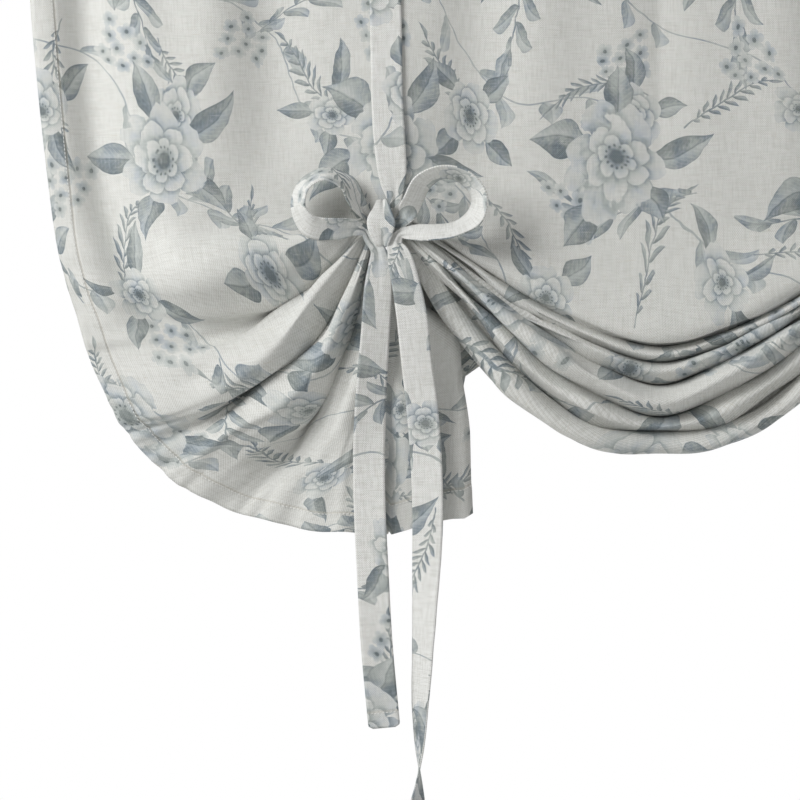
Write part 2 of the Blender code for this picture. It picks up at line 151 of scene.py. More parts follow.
# The roll beside the left side's edge, from high on the panel down to the bow: places
# (across, up) of its valley, and how deep it is at shares of its length.
ROLL_LINE = [(-0.512, -0.20), (-0.506, -0.40), (-0.500, -0.555), (-0.487, -0.660),
             (-0.464, -0.744), (-0.437, -0.777), (-0.400, -0.789), (-0.360, -0.785)]
ROLL_PLACES = (0.0, 0.3, 0.6)
ROLL_DEPTHS = (0.007, 0.010, 0.013)
ROLL_START = 0.16  # share of its length over which it rises
ROLL_FADE = 0.13  # how far from the bow's strap it is at its full depth
# Across it: height as a share of that depth, place and breadth. The ridge has two breadths.
ROLL_VALLEY = (-0.7, -0.005, 0.014)
ROLL_OUTER = (0.45, -0.034, 0.016)
ROLL_RIDGE = (1.6, 0.050, 0.030, 0.070)
# How far a tube bulges over the valley beside it, at the neck and at the four places.
FLANK_OVERHANG = (0.0, 0.38, 0.34, 0.05, 0.0)
SWAG_OVERHANG = (0.0, 0.30, 0.36, 0.34, 0.30)
SKIRT_ROWS = (1.60, 1.86)  # the rows of the swag's net whose hem shows below it
SKIRT_EASE = 0.15

# The hanging cloth's waves, and how its lines draw in towards the bow
LONG_WAVE, LONG_WAVE_DEPTH = 0.162, 0.0050
SHORT_WAVE, SHORT_WAVE_DEPTH = 0.093, 0.0032
STILL_REACH = 0.30
HUNG_EASE = 2.4
WAVE_EASE = 0.7

# Small creases, uneven folds and slack. Places out are shares of the way from the neck to the
# far end, and pitches down are shares of the folds.
HALF_SEEDS = (7, 11)
CREASE_HEIGHT = 0.0012
CREASES = ((1, 0.021), (0.6, 0.011))  # strength and pitch
CREASE_REACH = 0.13
CREASE_START = 0.05
GATHERED_FROM = 0.04
SWAG_UNEVEN, FLANK_UNEVEN = 0.0038, 0.0028
UNEVEN_FOLDS = ((1, 0.045, 0.16), (0.6, 0.020, 0.30))  # strength, pitch down and pitch out
UNEVEN_START = 0.2
SLACK_HEIGHT = 0.0009
SLACK_PITCH = 0.045
SLACK_TOP, SLACK_RUN = 0.62, 0.7
SLACK_START = 0.3
MIDDLE_STILL = 0.06

# The straps, in millimetres from the bow's middle. Above the bow each lies on the cloth:
# (up, across, the strap's width there).
STRAIGHT_RUN = [(up, 0, 28) for up in (628, 550, 470, 390, 310, 235)]
FRONT_RUN = STRAIGHT_RUN + [(160, 1, 28), (110, 2, 28), (75, 4, 28), (37, 7, 22)]
BACK_RUN = STRAIGHT_RUN + [(160, 0, 26), (110, 0, 24), (62, 0, 21), (30, 0, 16)]
# In the bow: (across, up, forward of the rod's axis), width, and that width's direction.
FRONT_BOW = [
    ((8, 20, 34.9), 12, (1, -0.1, 0)),
    ((5, 9, 35.1), 9, (0.9, -0.5, 0)),
    ((-3, 2, 35.1), 9, (0.3, -1, 0)),
    ((-11, 3, 35.6), 9, (0, -1, 0)),
    ((-16, 8, 39), 11, (-0.4, -0.8, 0.4)),
    ((-24, 20, 45), 20, (-0.7, -0.3, 0.8)),
    ((-34, 36, 52), 27, (-0.5, -0.3, 1)),
    ((-54, 44, 56), 27, (0, -0.45, 1)),
    ((-72, 33, 57), 27, (0.4, -0.2, 1)),
    ((-76, 15, 57), 27, (0.5, 0.1, 1)),
    ((-66, -1, 56), 27, (0.3, 0.7, 0.8)),
    ((-42, -4, 53), 23, (0, 0.8, 0.7)),
    ((-25, -3, 47), 14, (0, 1, 0.4)),
    ((-17.5, -5.5, 43.4), 9, (0.4, 1, 0)),
    ((-13.5, -13, 43.2), 9, (1, 0.3, 0)),
    ((-6.5, -22, 44.8), 13, (1, 0.1, 0)),
    ((-4.5, -35, 45.4), 20, (1, 0, 0)),
    ((-5.5, -51, 46), 24, (1, 0, -0.1)),
    ((-8.5, -98, 47), 26, (1, 0, -0.25)),
    ((-12, -147, 47), 28, (1, 0, -0.3)),
    ((-14, -213, 46), 28, (1, 0, 0)),
    ((-13, -260, 45), 28, (1, 0, 0.1)),
    ((-11, -300, 45), 28, (1, 0, 0.1)),
    ((-7.5, -365, 45), 28, (1, 0.08, 0)),
    ((-0.5, -442, 45), 28, (1, 0.12, 0)),
]
BACK_BOW = [
    ((0, 6, 30.3), 12, (1, 0, 0)),
    ((0, -10, 30.5), 11, (1, 0, 0)),
    ((0, -17.4, 31.6), 11, (1, 0, 0)),
    ((0, -19, 34.4), 11, (1, 0, 0)),
    ((0, -16.4, 37.4), 11, (1, 0, 0)),
    ((-1, -4, 38), 11, (1, 0, 0)),
    ((-2, 12, 38), 13, (1, 0, 0)),
    ((-2.6, 19.8, 39.8), 11, (1, 0, 0)),
    ((-2.4, 21.4, 43), 9, (1, 0.1, 0)),
    ((-2.6, 15, 47), 15, (1, 0.35, 0)),
    ((-3.4, 3, 49), 25, (1, 0.45, 0)),
    ((-3, -9, 48), 20, (1, 0.30, 0)),
    ((-1.5, -18.8, 43.8), 9, (1, 0, 0)),
    ((-1, -16.6, 40.8), 9, (1, 0, 0)),
    ((0, -8, 40.6), 8, (1, -0.2, 0)),
    ((5.5, -0.5, 40.8), 8, (0.6, -1, 0)),
    ((14, 3, 43), 12, (0.3, -1, 0.4)),
    ((24, 20, 49), 22, (1, -0.5, -1)),
    ((34, 38, 54), 27, (0.6, -0.5, -1.2)),
    ((52, 46, 57), 27, (0, -0.5, -1.2)),
    ((70, 41, 58), 27, (-0.4, -0.4, -1.2)),
    ((83, 23, 58), 27, (-0.7, 0, -1.2)),
    ((79, 7, 57), 27, (-0.5, 0.5, -1)),
    ((62, -4, 56), 25, (-0.1, 0.6, -1)),
    ((40, -7, 53), 20, (0, 0.7, -0.7)),
    ((22, -7, 47), 13, (0, 1, -0.3)),
    ((12, -9, 44), 9, (-0.5, 1, 0)),
    ((9, -15, 44), 13, (-1, 0.2, 0)),
    ((12, -26, 49.5), 20, (-1, 0, 0)),
    ((19, -55, 51), 25, (-1, 0, 0)),
    ((23.5, -80, 51), 27, (-1, 0, 0)),
    ((27, -114, 50), 27, (-1, 0, 0)),
    ((33, -164, 48), 28, (-1, 0, -0.1)),
    ((37.5, -248, 46), 28, (-1, 0, -0.3)),
    ((37, -285, 46), 28, (-1, 0, -0.45)),
    ((35, -332, 46), 28, (-1, 0, -0.85)),
    ((33.5, -368, 46), 28, (-1, 0, -1.15)),
    ((31, -422, 46), 28, (-1, 0, -1.8)),
    ((30.5, -458, 46), 28, (-0.26, 0, -1)),
    ((30, -485, 46), 28, (0.1, 0, -1)),
    ((27, -532, 46), 28, (1.2, 0, -1)),
]

# A strap's pleats, slack and crown, in millimetres like its listed width
LISTED_WIDTH = 28
PLEATS_START, PLEATS_RUN = 26, 14  # below this width it pleats, and fully when this much less
PLEATS = ((1, 1.6, 0.25), (0.35, 3.1, 0.4))  # strength, how many across and how far they drift
PLEAT_HEIGHT = 0.9
STRAP_SLACK = 0.35
STRAP_CROWN = 0.25
STRAP_NOISE = (34, 26, 17)  # pitches of its sway, twist and sag

# Cloth's finish
THREAD_PITCH = 1.9  # millimetres
FLAT_MAP = "flat_cloth"
RELIEF_STRENGTH = 0.65
RELIEF_DEPTH = 0.00045
THREAD_RELIEF = 0.0001
REVERSE_INK = 0.28
STRAP_SHIFT, LINING_SHIFT = (310, 95), (120, 40)  # where on the print the straps are cut

# Seams
STITCH_PITCH = 0.0034
STITCH_LENGTH = 0.0029
THREAD_WIDTH = 0.0008
STITCH_WAVER = 0.08
STITCH_SEED = 4
STRAP_CORNER = 4  # millimetres cut off the corners of a strap's end
SEAM_INSET = 0.0015  # stitches to the folded hem's inner edge
STRAP_HEM = 0.013
# How strongly each of the print's motifs is inked
LAYER_TONES = {"garland": 0.72, "spray": 0.86, "florets": 0.95, "collar": 1.0, "blossom": 1.0}
# A flower's rounds of petals: size, turn, and the ink from pale to dark
PETAL_ROUNDS = ((1.0, 0.0, 0.20, 0.60), (0.69, 0.45, 0.14, 0.62), (0.40, 0.80, 0.20, 0.74))
STAMENS = 13
# The small and the large flower: how it is scattered (cell, shift, jitter and seed), its
# collar of leaves and its petals
FLOWERS = (
    ((142.0, 96.0, 8.0, 13.0),
     {"Start": 17.0, "Length": 44.0, "Width": 19.0, "Count": 4.0},
     {"Radius": 25.0, "Petals": 5.0}),
    ((214.0, 20.0, 12.0, 21.0),
     {"Start": 30.0, "Length": 62.0, "Width": 27.0, "Count": 5.0},
     {"Radius": 46.0, "Petals": 6.0}),
)

# Colours
LINEN = (0.745, 0.75, 0.725, 1.0)
LINEN_SHADE = (0.56, 0.56, 0.525, 1.0)
# The straps' linen is lighter than the panel's. This is partly the doubled cloth's paler look,
# and partly painted light for the light the straps catch in front of the panel.
STRAP_LINEN_PAINTED_LIGHT = (0.85, 0.855, 0.84, 1.0)
SLUB = (0.45, 0.415, 0.34, 1.0)
INK_LIGHT = (0.47, 0.50, 0.485, 1.0)
INK_LIGHT_COOL = (0.47, 0.51, 0.54, 1.0)
INK = (0.185, 0.21, 0.205, 1.0)
INK_COOL = (0.18, 0.22, 0.245, 1.0)
INK_DEEP = (0.095, 0.115, 0.12, 1.0)
THREAD = (0.86, 0.86, 0.84, 1.0)
THREAD_SHADE = (0.70, 0.70, 0.67, 1.0)
FLOOR = (0.8, 0.8, 0.79, 1)

# Floor, light and view
FLOOR_HALF = 2.2
FLOOR_LEVEL = -1.62
WORLD_LEVEL = 0.31
# Each lamp's place, what it lights, its size and its power
LAMPS = {
    "window_light": ((-2.1, -1.45, 0.45), (-0.25, 0, -0.8), 1.4, 60),
    "back_light": ((0.8, 2.6, 0.2), (0, 0, -0.7), 1.4, 34),
    "side_light": ((2.2, -2.0, -0.2), (-0.1, 0, -0.8), 1.2, 6),
}
PICTURE = 800  # pixels across
PIXEL = 0.00088  # metres of the panel to one of them
FILM = 36
VIEW_MIDDLE = (-0.2288, -0.033, -0.854)
VIEW_DISTANCE = 6.0


def smooth_through(knots, values, at):
    """A cubic through values at rising knots, with slopes from each point's two neighbours."""
    knots, values, at = np.asarray(knots, float), np.asarray(values, float), np.asarray(at, float)
    spread = (...,) + (None,) * (values.ndim - 1)
    steps = np.diff(knots)[spread]
    chords = np.diff(values, axis=0) / steps
    slopes = np.empty_like(values)
    slopes[0], slopes[-1] = chords[0], chords[-1]
    slopes[1:-1] = (chords[:-1] * steps[1:] + chords[1:] * steps[:-1]) / (steps[:-1] + steps[1:])
    i = np.clip(np.searchsorted(knots, at, side="right") - 1, 0, len(knots) - 2)
    step = steps[i]
    t = ((at - knots[i]) / (knots[i + 1] - knots[i]))[spread]
    return (
        values[i] * (2 * t**3 - 3 * t**2 + 1)
        + slopes[i] * step * (t**3 - 2 * t**2 + t)
        + values[i + 1] * (3 * t**2 - 2 * t**3)
        + slopes[i + 1] * step * (t**3 - t**2)
    )


def fold_net(folds, tail, overhang, span, drop):
    """The fold lines of one side as points (across, down, forward), neck to far end. Between
    a ridge and a valley there is one more line, the side of the tube that bulges over."""
    placed = []
    for _, places in folds + tail:
        line = [(NECK_HALF, 0.0, KNOT_FORWARD)]
        line += [(a / 100 * span, d / 100 * drop, f / MM) for a, d, f in places]
        placed.append(np.array(line))
    lines = [placed[0], placed[1]]
    lean = 0.5 + np.array(overhang)[:, None]
    for ridge in range(1, len(folds) - 1):
        here, after = placed[ridge], placed[ridge + 1]
        tube, valley = (here, after) if ridge % 2 else (after, here)
        side = tube + (valley - tube) * lean
        side[:, 2] = 0.5 * (tube[:, 2] + valley[:, 2])
        lines += [side, after]
    lines += placed[len(folds):]
    share = np.linspace(0, 1, len(lines))
    for line, at in zip(lines, share):
        line[0, 1] = -NECK_RISE + (NECK_RISE + NECK_FALL) * at
    return np.array(lines), len(lines) - len(tail) - 1


def net_lines(net, outs, symmetric):
    """The fold lines at every out (0 neck to 1 end). A symmetric side meets its mirror level."""
    knots = np.linspace(0, 1, net.shape[1])
    if symmetric:
        beyond = net[:, -2:-3:-1] * (-1, 1, 1) + net[:, -1:] * (2, 0, 0)
        net = np.concatenate([net, beyond], axis=1)
        knots = np.append(knots, 2 - knots[-2])
    return smooth_through(knots, net.transpose(1, 0, 2), outs).transpose(1, 0, 2)


def eased(t):
    """0 to 1 with level ends."""
    return t * t * (3 - 2 * t)


def bell(at, middle, breadth):
    """A smooth hump, 1 at its middle."""
    return np.exp(-(((at - middle) / breadth) ** 2))


def soft_waves(x):
    """Slow vertical waves of the hanging cloth, still at the bows where the straps lie."""
    from_bow = (np.abs(x) - KNOT_SPACING / 2) / (KNOT_SPACING / 2)
    long = LONG_WAVE_DEPTH * np.cos(math.tau * x / LONG_WAVE)
    short = SHORT_WAVE_DEPTH * np.sin(math.tau * x / SHORT_WAVE)
    return (1 - bell(from_bow, 0, STILL_REACH)) * (long + short)


def hung_y(share, level_y, header_x):
    """Depth of the cloth between the stitch line (0) and the bows' level (1)."""
    wave = soft_waves(header_x) * math.sin(math.pi * share) ** WAVE_EASE
    return FRONT_SEAM_Y + (level_y - FRONT_SEAM_Y) * share**HUNG_EASE + wave


def hung_rows(header_x, level):
    """The cloth from the stitch line to just above its level line, row by row."""
    rows = []
    for share in np.linspace(0, 1, HUNG_ROWS + 1)[:-1]:
        x = header_x + (level[:, 0] - header_x) * share**HUNG_EASE
        z = -POCKET_DROP + (level[:, 2] + POCKET_DROP) * share
        rows.append(np.stack([x, hung_y(share, level[:, 1], header_x), z], axis=-1))
    return np.array(rows)


def lengths(points, axis):
    """Length along a grid's lines from their start, and the same as a share of the whole."""
    steps = np.linalg.norm(np.diff(points, axis=axis), axis=-1)
    first = np.zeros_like(np.take(steps, [0], axis=axis))
    run = np.concatenate([first, np.cumsum(steps, axis=axis)], axis=axis)
    return run, run / np.take(run, [-1], axis=axis)


def side_sheet(folds, tail, overhang, span, drop, outs, outward, header_half):
    """One side of the left bow from the stitch line down: where its columns leave the header,
    its points, and its rows' places."""
    bow_x = -KNOT_SPACING / 2
    net, last_fold = fold_net(folds, tail, overhang, span, drop)
    lines = net_lines(net, outs, outward > 0)
    x = bow_x + outward * lines[..., 0]
    gathered = np.stack([x, -lines[..., 2], -KNOT_DROP - lines[..., 1]], axis=-1)
    along = lengths(gathered[:1], 1)[1][0]
    header_x = bow_x + outward * (NECK_HALF + along * (header_half - NECK_HALF))
    guide = np.concatenate([hung_rows(header_x, gathered[0]), gathered])
    # Down the cloth: hung rows to 0, folds from 0 to 1, and what follows them from 1 to 2.
    hung_places = HUNG_STEP * np.linspace(-HUNG_STEPS, 0, HUNG_ROWS + 1)[:-1]
    fold_places = np.linspace(0, 1, last_fold + 1)
    tail_places = np.linspace(1, 2, len(tail) + 1)[1:]
    places = np.concatenate([hung_places, fold_places, tail_places])
    fold_rows = np.linspace(0, 1, FOLD_ROWS + 1)
    tail_rows = np.linspace(1, 2, TAIL_ROWS + 1)[1:]
    rows = np.concatenate([hung_places, fold_rows, tail_rows])
    sheet = smooth_through(places, guide, rows)
    sheet[..., 0] = np.minimum(sheet[..., 0], 0)
    return header_x, sheet, rows


def tail_row(tail, label):
    """Where on the rows' scale a named line of a tail lies, from 1 to 2."""
    return 1 + (1 + [name for name, _ in tail].index(label)) / len(tail)


def flat_places(sheet, rows, header_x, corner_row, skirt_row):
    """Where each point lies on the flat cloth: across from the middle, and down from the
    flap's edge. The side or middle edge runs down to the corner row, and from there along the
    bottom hem to the skirt row, which lies straight below the bow."""
    level = int(np.argmin(np.abs(rows)))
    flat_x = header_x * FLAT_SCALE
    u = np.repeat(flat_x[None], len(rows), 0)
    v = np.empty_like(u)
    hung = np.linspace(0, 1, level + 1)[:-1, None]
    v[:level] = POCKET_CLOTH + (LEVEL_CLOTH - POCKET_CLOTH) * hung
    gathered, rows = sheet[level:], rows[level:]
    share = lengths(gathered, 1)[1]
    across = np.abs(gathered[..., 0] + KNOT_SPACING / 2) - NECK_HALF
    on_flank = header_x[0] < -KNOT_SPACING / 2
    edge, neck = (0, -1) if on_flank else (-1, 0)
    if on_flank:
        share = 1 - share
    down = lengths(gathered[:, edge], 0)[0]
    corner, skirt = (int(np.argmin(np.abs(rows - at))) for at in (corner_row, skirt_row))
    edge_v = LEVEL_CLOTH + FLAT_FALL * np.minimum(down / down[corner], 1)
    # Along the hem the cloth keeps its scale, and only what is left over is squeezed.
    hem_run = down[skirt] - down[corner]
    left_to_go = np.clip((down[skirt] - down) / hem_run, 0, 1)
    full_scale = hem_run / abs(flat_x[edge] - flat_x[neck])
    left_to_go = full_scale * left_to_go + (1 - full_scale) * left_to_go**2
    edge_u = flat_x[neck] + (flat_x[edge] - flat_x[neck]) * left_to_go
    neck_v = LEVEL_CLOTH + NECK_CLOTH * np.minimum(rows, 1)
    v[level:] = neck_v[:, None] + (edge_v - neck_v)[:, None] * share
    if not on_flank:
        across_share = np.clip(across / np.maximum(across[:, [edge]], NECK_HALF), 0, 1)
        in_skirt = np.clip((rows[:, None] - SKIRT_ROWS[0] + SKIRT_EASE) / SKIRT_EASE, 0, 1)
        share = share + (across_share - share) * in_skirt
    u[level:] = flat_x[neck] + (edge_u[:, None] - flat_x[neck]) * share
    return u, v


def pocket_rows(header_x):
    """The rod pocket's cloth, from the stitched flap up the back, over the rod and down, and
    how far down the flat cloth each row is."""
    round_y = ROD_ROOM + CLOTH / 2
    side = [(round_y * out, -POCKET_DROP * down) for out, down in POCKET_SIDE]
    turns = [math.pi * i / POCKET_ARC for i in range(POCKET_ARC + 1)]
    section = [(-FRONT_SEAM_Y, -POCKET_DROP)] + side
    section += [(round_y * math.cos(turn), round_y * math.sin(turn)) for turn in turns]
    section += [(-y, z) for y, z in reversed(side)]
    rows = [np.stack([header_x, 0 * header_x + y, 0 * header_x + z], -1) for y, z in section]
    steps = np.linalg.norm(np.diff(section, axis=0), axis=1)
    down = np.concatenate([[0], np.cumsum(steps)])
    return np.array(rows), down * POCKET_CLOTH / (down[-1] + POCKET_LAST_STEP)


def linked(name, data):
    """An object in the scene with this data."""
    obj = bpy.data.objects.new(name, data)
    bpy.context.scene.collection.objects.link(obj)
    return obj


def made_plain(obj):
    """Makes what an object's modifiers give into its own mesh."""
    depsgraph = bpy.context.evaluated_depsgraph_get()
    made = bpy.data.meshes.new_from_object(obj.evaluated_get(depsgraph))
    obj.modifiers.clear()
    obj.data = made
    return made


def grid_quads(index):
    """The faces of a grid, from its points' numbers."""
    return np.stack([index[:-1, :-1], index[1:, :-1], index[1:, 1:], index[:-1, 1:]], axis=-1)


def cloth_object(name, points, quads, uvs, material_list):
    """A surface of quads over points, with its flat cloth places as its UV map."""
    mesh = bpy.data.meshes.new(name)
    mesh.from_pydata(points.reshape(-1, 3).tolist(), [], quads.tolist())
    layer = mesh.uv_layers.new(name=FLAT_MAP)
    layer.data.foreach_set("uv", uvs.reshape(-1, 2)[quads.ravel()].ravel())
    mesh.shade_smooth()
    for made in material_list:
        mesh.materials.append(made)
    return linked(name, mesh)


def thicken(obj, thickness, thin_share=None, weights=None):
    """Gives a surface its cloth's thickness, with the reverse in its second material."""
    shell = obj.modifiers.new("cloth", "SOLIDIFY")
    shell.thickness = thickness
    shell.offset = 0
    shell.material_offset = 1
    if weights is not None:
        hems = obj.vertex_groups.new(name="hems")
        for level in np.unique(weights):
            hems.add(np.flatnonzero(weights == level).tolist(), float(level), "REPLACE")
        shell.vertex_group = hems.name
        shell.thickness_vertex_group = thin_share
    made_plain(obj)
    return obj


def normals(points):
    """Unit normals of a grid, to the front of the hung cloth."""
    down, along = np.gradient(points, axis=0), np.gradient(points, axis=1)
    cross = np.cross(down, along)
    return cross / np.maximum(np.linalg.norm(cross, axis=-1), 1e-12)[..., None]


def soft_noise(rng, at, pitch):
    """Smooth seeded noise in -1 to 1 along one line."""
    at = np.asarray(at, float) / pitch
    low = int(np.floor(at.min())) - 2
    values = rng.uniform(-1, 1, int(np.ceil(at.max())) - low + 4)
    i = np.floor(at).astype(int) - low
    t = eased(at - np.floor(at))
    return values[i] * (1 - t) + values[i + 1] * t


def soft_noise_net(rng, down, out, down_pitch, out_pitch):
    """Smooth seeded noise in -1 to 1 over rows at down and columns at out."""
    down, out = (down - down.min()) / down_pitch, (out - out.min()) / out_pitch
    values = rng.uniform(-1, 1, (int(down.max()) + 2, int(out.max()) + 2))
    i, j = down.astype(int)[:, None], out.astype(int)[None]
    s, t = eased(down[:, None] - i), eased(out[None] - j)
    upper = values[i, j] * (1 - t) + values[i, j + 1] * t
    lower = values[i + 1, j] * (1 - t) + values[i + 1, j + 1] * t
    return upper * (1 - s) + lower * s


def side_roll(points):
    """How far the cloth beside the flank lifts into the roll that turns up from the bow's
    shoulder and runs on up the panel, along its side."""
    at = np.linspace(0, 1, ROLL_STEPS)
    line = smooth_through(np.linspace(0, 1, len(ROLL_LINE)), ROLL_LINE, at)
    step = np.gradient(line, axis=0)
    step /= np.linalg.norm(step, axis=1)[:, None]
    shape = points.shape[:2]
    flat = points[..., (0, 2)].reshape(-1, 2)
    away = flat[:, None] - line[None]
    nearest = np.argmin(np.sum(away**2, axis=-1), axis=1)
    there = away[np.arange(len(flat)), nearest]
    turn = step[nearest]
    off = (there[:, 0] * -turn[:, 1] + there[:, 1] * turn[:, 0]).reshape(shape)
    along = (nearest / (len(line) - 1)).reshape(shape)
    depth = np.interp(along, ROLL_PLACES, ROLL_DEPTHS) * np.clip(along / ROLL_START, 0, 1)
    height, middle, inner, outer = ROLL_RIDGE
    ridge = height * bell(off, middle, np.where(off < middle, inner, outer))
    valley, beyond = (height * bell(off, *place) for height, *place in (ROLL_VALLEY, ROLL_OUTER))
    from_bow = np.clip((-KNOT_SPACING / 2 - STRAP_WIDTH - points[..., 0]) / ROLL_FADE, 0, 1)
    return (valley + ridge + beyond) * depth * eased(from_bow)


def creased(points, seed, row_place, signed_out, header_x):
    """Half of the panel with the small creases that fan out of the neck, uneven folds, the
    slack of the hanging cloth and the roll beside its side."""
    rng = np.random.default_rng(seed)
    out, down = np.abs(signed_out), row_place[:, None]
    gathered = np.clip(down / GATHERED_FROM, 0, 1)
    crease = sum(share * soft_noise(rng, row_place, pitch) for share, pitch in CREASES)
    near = bell(out, CREASE_REACH, CREASE_REACH) * np.clip(out / CREASE_START, 0, 1)
    lift = CREASE_HEIGHT * crease[:, None] * near * gathered
    uneven = sum(
        share * soft_noise_net(rng, row_place, signed_out, *pitches)
        for share, *pitches in UNEVEN_FOLDS
    )
    strength = np.where(signed_out > 0, SWAG_UNEVEN, FLANK_UNEVEN)
    strength = strength * np.clip(out / UNEVEN_START, 0, 1)
    lift = lift + uneven * gathered * strength
    hanging = np.sin(np.clip((down + SLACK_TOP) / SLACK_RUN, 0, 1) * math.pi)
    slack = soft_noise(rng, header_x, SLACK_PITCH)[None] * hanging
    from_middle = np.clip(-header_x / MIDDLE_STILL, 0, 1) ** 2
    lift = (lift + SLACK_HEIGHT * slack * np.clip(out / SLACK_START, 0, 1)) * from_middle
    stitch_line = HUNG_STEP * HUNG_STEPS
    below_pocket = np.clip((down + stitch_line) / HUNG_STEP, 0, 1)
    flank = slice(None, FLANK_COLUMNS + 1)
    lift[:, flank] += side_roll(points[:, flank]) * below_pocket
    return points + normals(points) * lift[..., None]


def panel_points():
    """The panel's points and flat places, both halves, from the flap's edge to the hem."""
    flank_outs = 1 - np.linspace(0, 1, FLANK_COLUMNS + 1) ** FLANK_CROWDING
    swag_outs = np.linspace(0, 1, SWAG_COLUMNS + 1)
    outer, inner = (HEADER_WIDTH - KNOT_SPACING) / 2, KNOT_SPACING / 2
    flank_x, flank, rows = side_sheet(
        FLANK_FOLDS, FLANK_TAIL, FLANK_OVERHANG, FLANK, SKIRT_DROP, flank_outs[::-1], -1, outer
    )
    flank_x, flank = flank_x[::-1], flank[:, ::-1]
    swag_x, swag, _ = side_sheet(
        SWAG_FOLDS, SWAG_TAIL, SWAG_OVERHANG, inner, SWAG_DROP, swag_outs, 1, inner
    )
    flank_u, flank_v = flat_places(flank, rows, flank_x, tail_row(FLANK_TAIL, "skirt edge"), 2)
    swag_ends = (tail_row(SWAG_TAIL, label) for label in ("hem at middle", "skirt edge"))
    swag_u, swag_v = flat_places(swag, rows, swag_x, *swag_ends)
    header_x = np.append(flank_x, swag_x)
    pocket, pocket_v = pocket_rows(header_x)
    u, v = np.concatenate([flank_u, swag_u], 1), np.concatenate([flank_v, swag_v], 1)
    u = np.concatenate([np.repeat(header_x[None] * FLAT_SCALE, len(pocket), 0), u])
    v = np.concatenate([np.repeat(pocket_v[:, None], len(header_x), 1), v])
    half = np.concatenate([pocket, np.concatenate([flank, swag], axis=1)])
    row_place = np.concatenate([np.full(len(pocket), -1.0), rows])
    signed_out = np.concatenate([-flank_outs, swag_outs])
    left, right = (creased(half, seed, row_place, signed_out, header_x) for seed in HALF_SEEDS)
    meets = half[:, -1, 0] > -MEETS
    left[meets, -1, 0] = 0
    left[meets, -1] = 0.5 * (left[meets, -1] + right[meets, -1])
    right[meets, -1] = left[meets, -1]
    return left, (right * (-1, 1, 1))[:, ::-1], u, v, row_place, len(pocket)


def panel_sheet(material_list):
    """The whole cloth as one sheet, and its stitches. Below the bows' hem its halves part at
    the middle."""
    left, right, u, v, row_place, first_hung = panel_points()
    count_rows, half_columns = left.shape[:2]
    stitches = [
        panel_stitches(half, u, v, first_hung, row_place) for half in (left, right[:, ::-1])
    ]
    points = np.concatenate([left, right], axis=1)
    uvs = np.stack([np.concatenate([u, -u[:, ::-1]], 1), np.concatenate([v, v[:, ::-1]], 1)], -1)
    index = np.arange(count_rows * 2 * half_columns).reshape(count_rows, 2 * half_columns)
    joined = np.abs(left[:, -1, 0]) < JOINED
    index[joined, half_columns] = index[joined, half_columns - 1]
    quads = np.delete(grid_quads(index), half_columns - 1, axis=1).reshape(-1, 4)
    panel = cloth_object("panel_cloth", points, quads, uvs, material_list)
    in_side_hem = FLAT_WIDTH / 2 - np.abs(uvs[..., 0]) < SIDE_HEM
    in_bottom_hem = HEM_CLOTH - uvs[..., 1] < BOTTOM_HEM
    weights = np.where(in_side_hem | in_bottom_hem, 1.0, 0.0).ravel()
    thicken(panel, HEM_THICKNESS, CLOTH / HEM_THICKNESS, weights)
    return panel, np.concatenate(stitches)


def seam_line(points, field, level, rows):
    """Where a field that grows from the first column reaches a level, row by row: place and
    normal."""
    facing = normals(points)
    line = []
    for row in rows:
        i = int(np.argmax(field[row] >= level))
        if i == 0:
            continue
        t = (level - field[row, i - 1]) / (field[row, i] - field[row, i - 1])
        ends = np.concatenate([points[row, i - 1 : i + 1], facing[row, i - 1 : i + 1]], axis=1)
        line.append(ends[0] * (1 - t) + ends[1] * t)
    return np.array(line)


def stitches_along(line, lift):
    """Stitches on both faces of the cloth along a line: place, direction and which way is out."""
    run = np.append(0, np.cumsum(np.linalg.norm(np.diff(line[:, :3], axis=0), axis=1)))

    def spots(at):
        return np.stack([np.interp(at, run, value) for value in line.T], axis=-1)

    at = np.arange(STITCH_PITCH / 2, run[-1], STITCH_PITCH)
    place, outward = spots(at)[:, :3], spots(at)[:, 3:]
    ahead = (spots(at + STITCH_PITCH / 4) - spots(at - STITCH_PITCH / 4))[:, :3]
    outward /= np.linalg.norm(outward, axis=1)[:, None]
    lift += THREAD_WIDTH / 4
    return np.concatenate([
        np.concatenate([place + outward * side * lift, ahead, outward * side], axis=1)
        for side in (-1, 1)
    ])


def panel_stitches(half, u, v, first_hung, row_place):
    """The stitches of the side hem, the pocket and the skirt's hem on one half of the panel."""
    side_rows = [row for row in range(len(v)) if v[row, 0] < HEM_CLOTH - BOTTOM_HEM / 2]
    side = seam_line(half, FLAT_WIDTH / 2 - np.abs(u), SIDE_HEM - SEAM_INSET, side_rows)
    low, high = SKIRT_ROWS
    skirt_rows = [row for row in range(len(v)) if low <= row_place[row] <= high]
    inward = slice(None, FLANK_COLUMNS + 1, -1)
    skirt = seam_line(
        half[:, inward], HEM_CLOTH - v[:, inward], BOTTOM_HEM - SEAM_INSET, skirt_rows
    )
    whole = np.concatenate([half, normals(half)], axis=2)
    return np.concatenate([
        stitches_along(side, HEM_THICKNESS / 2),
        stitches_along(skirt, HEM_THICKNESS / 2),
        stitches_along(whole[first_hung], CLOTH / 2),
        stitches_along(whole[0], CLOTH / 2),
    ])


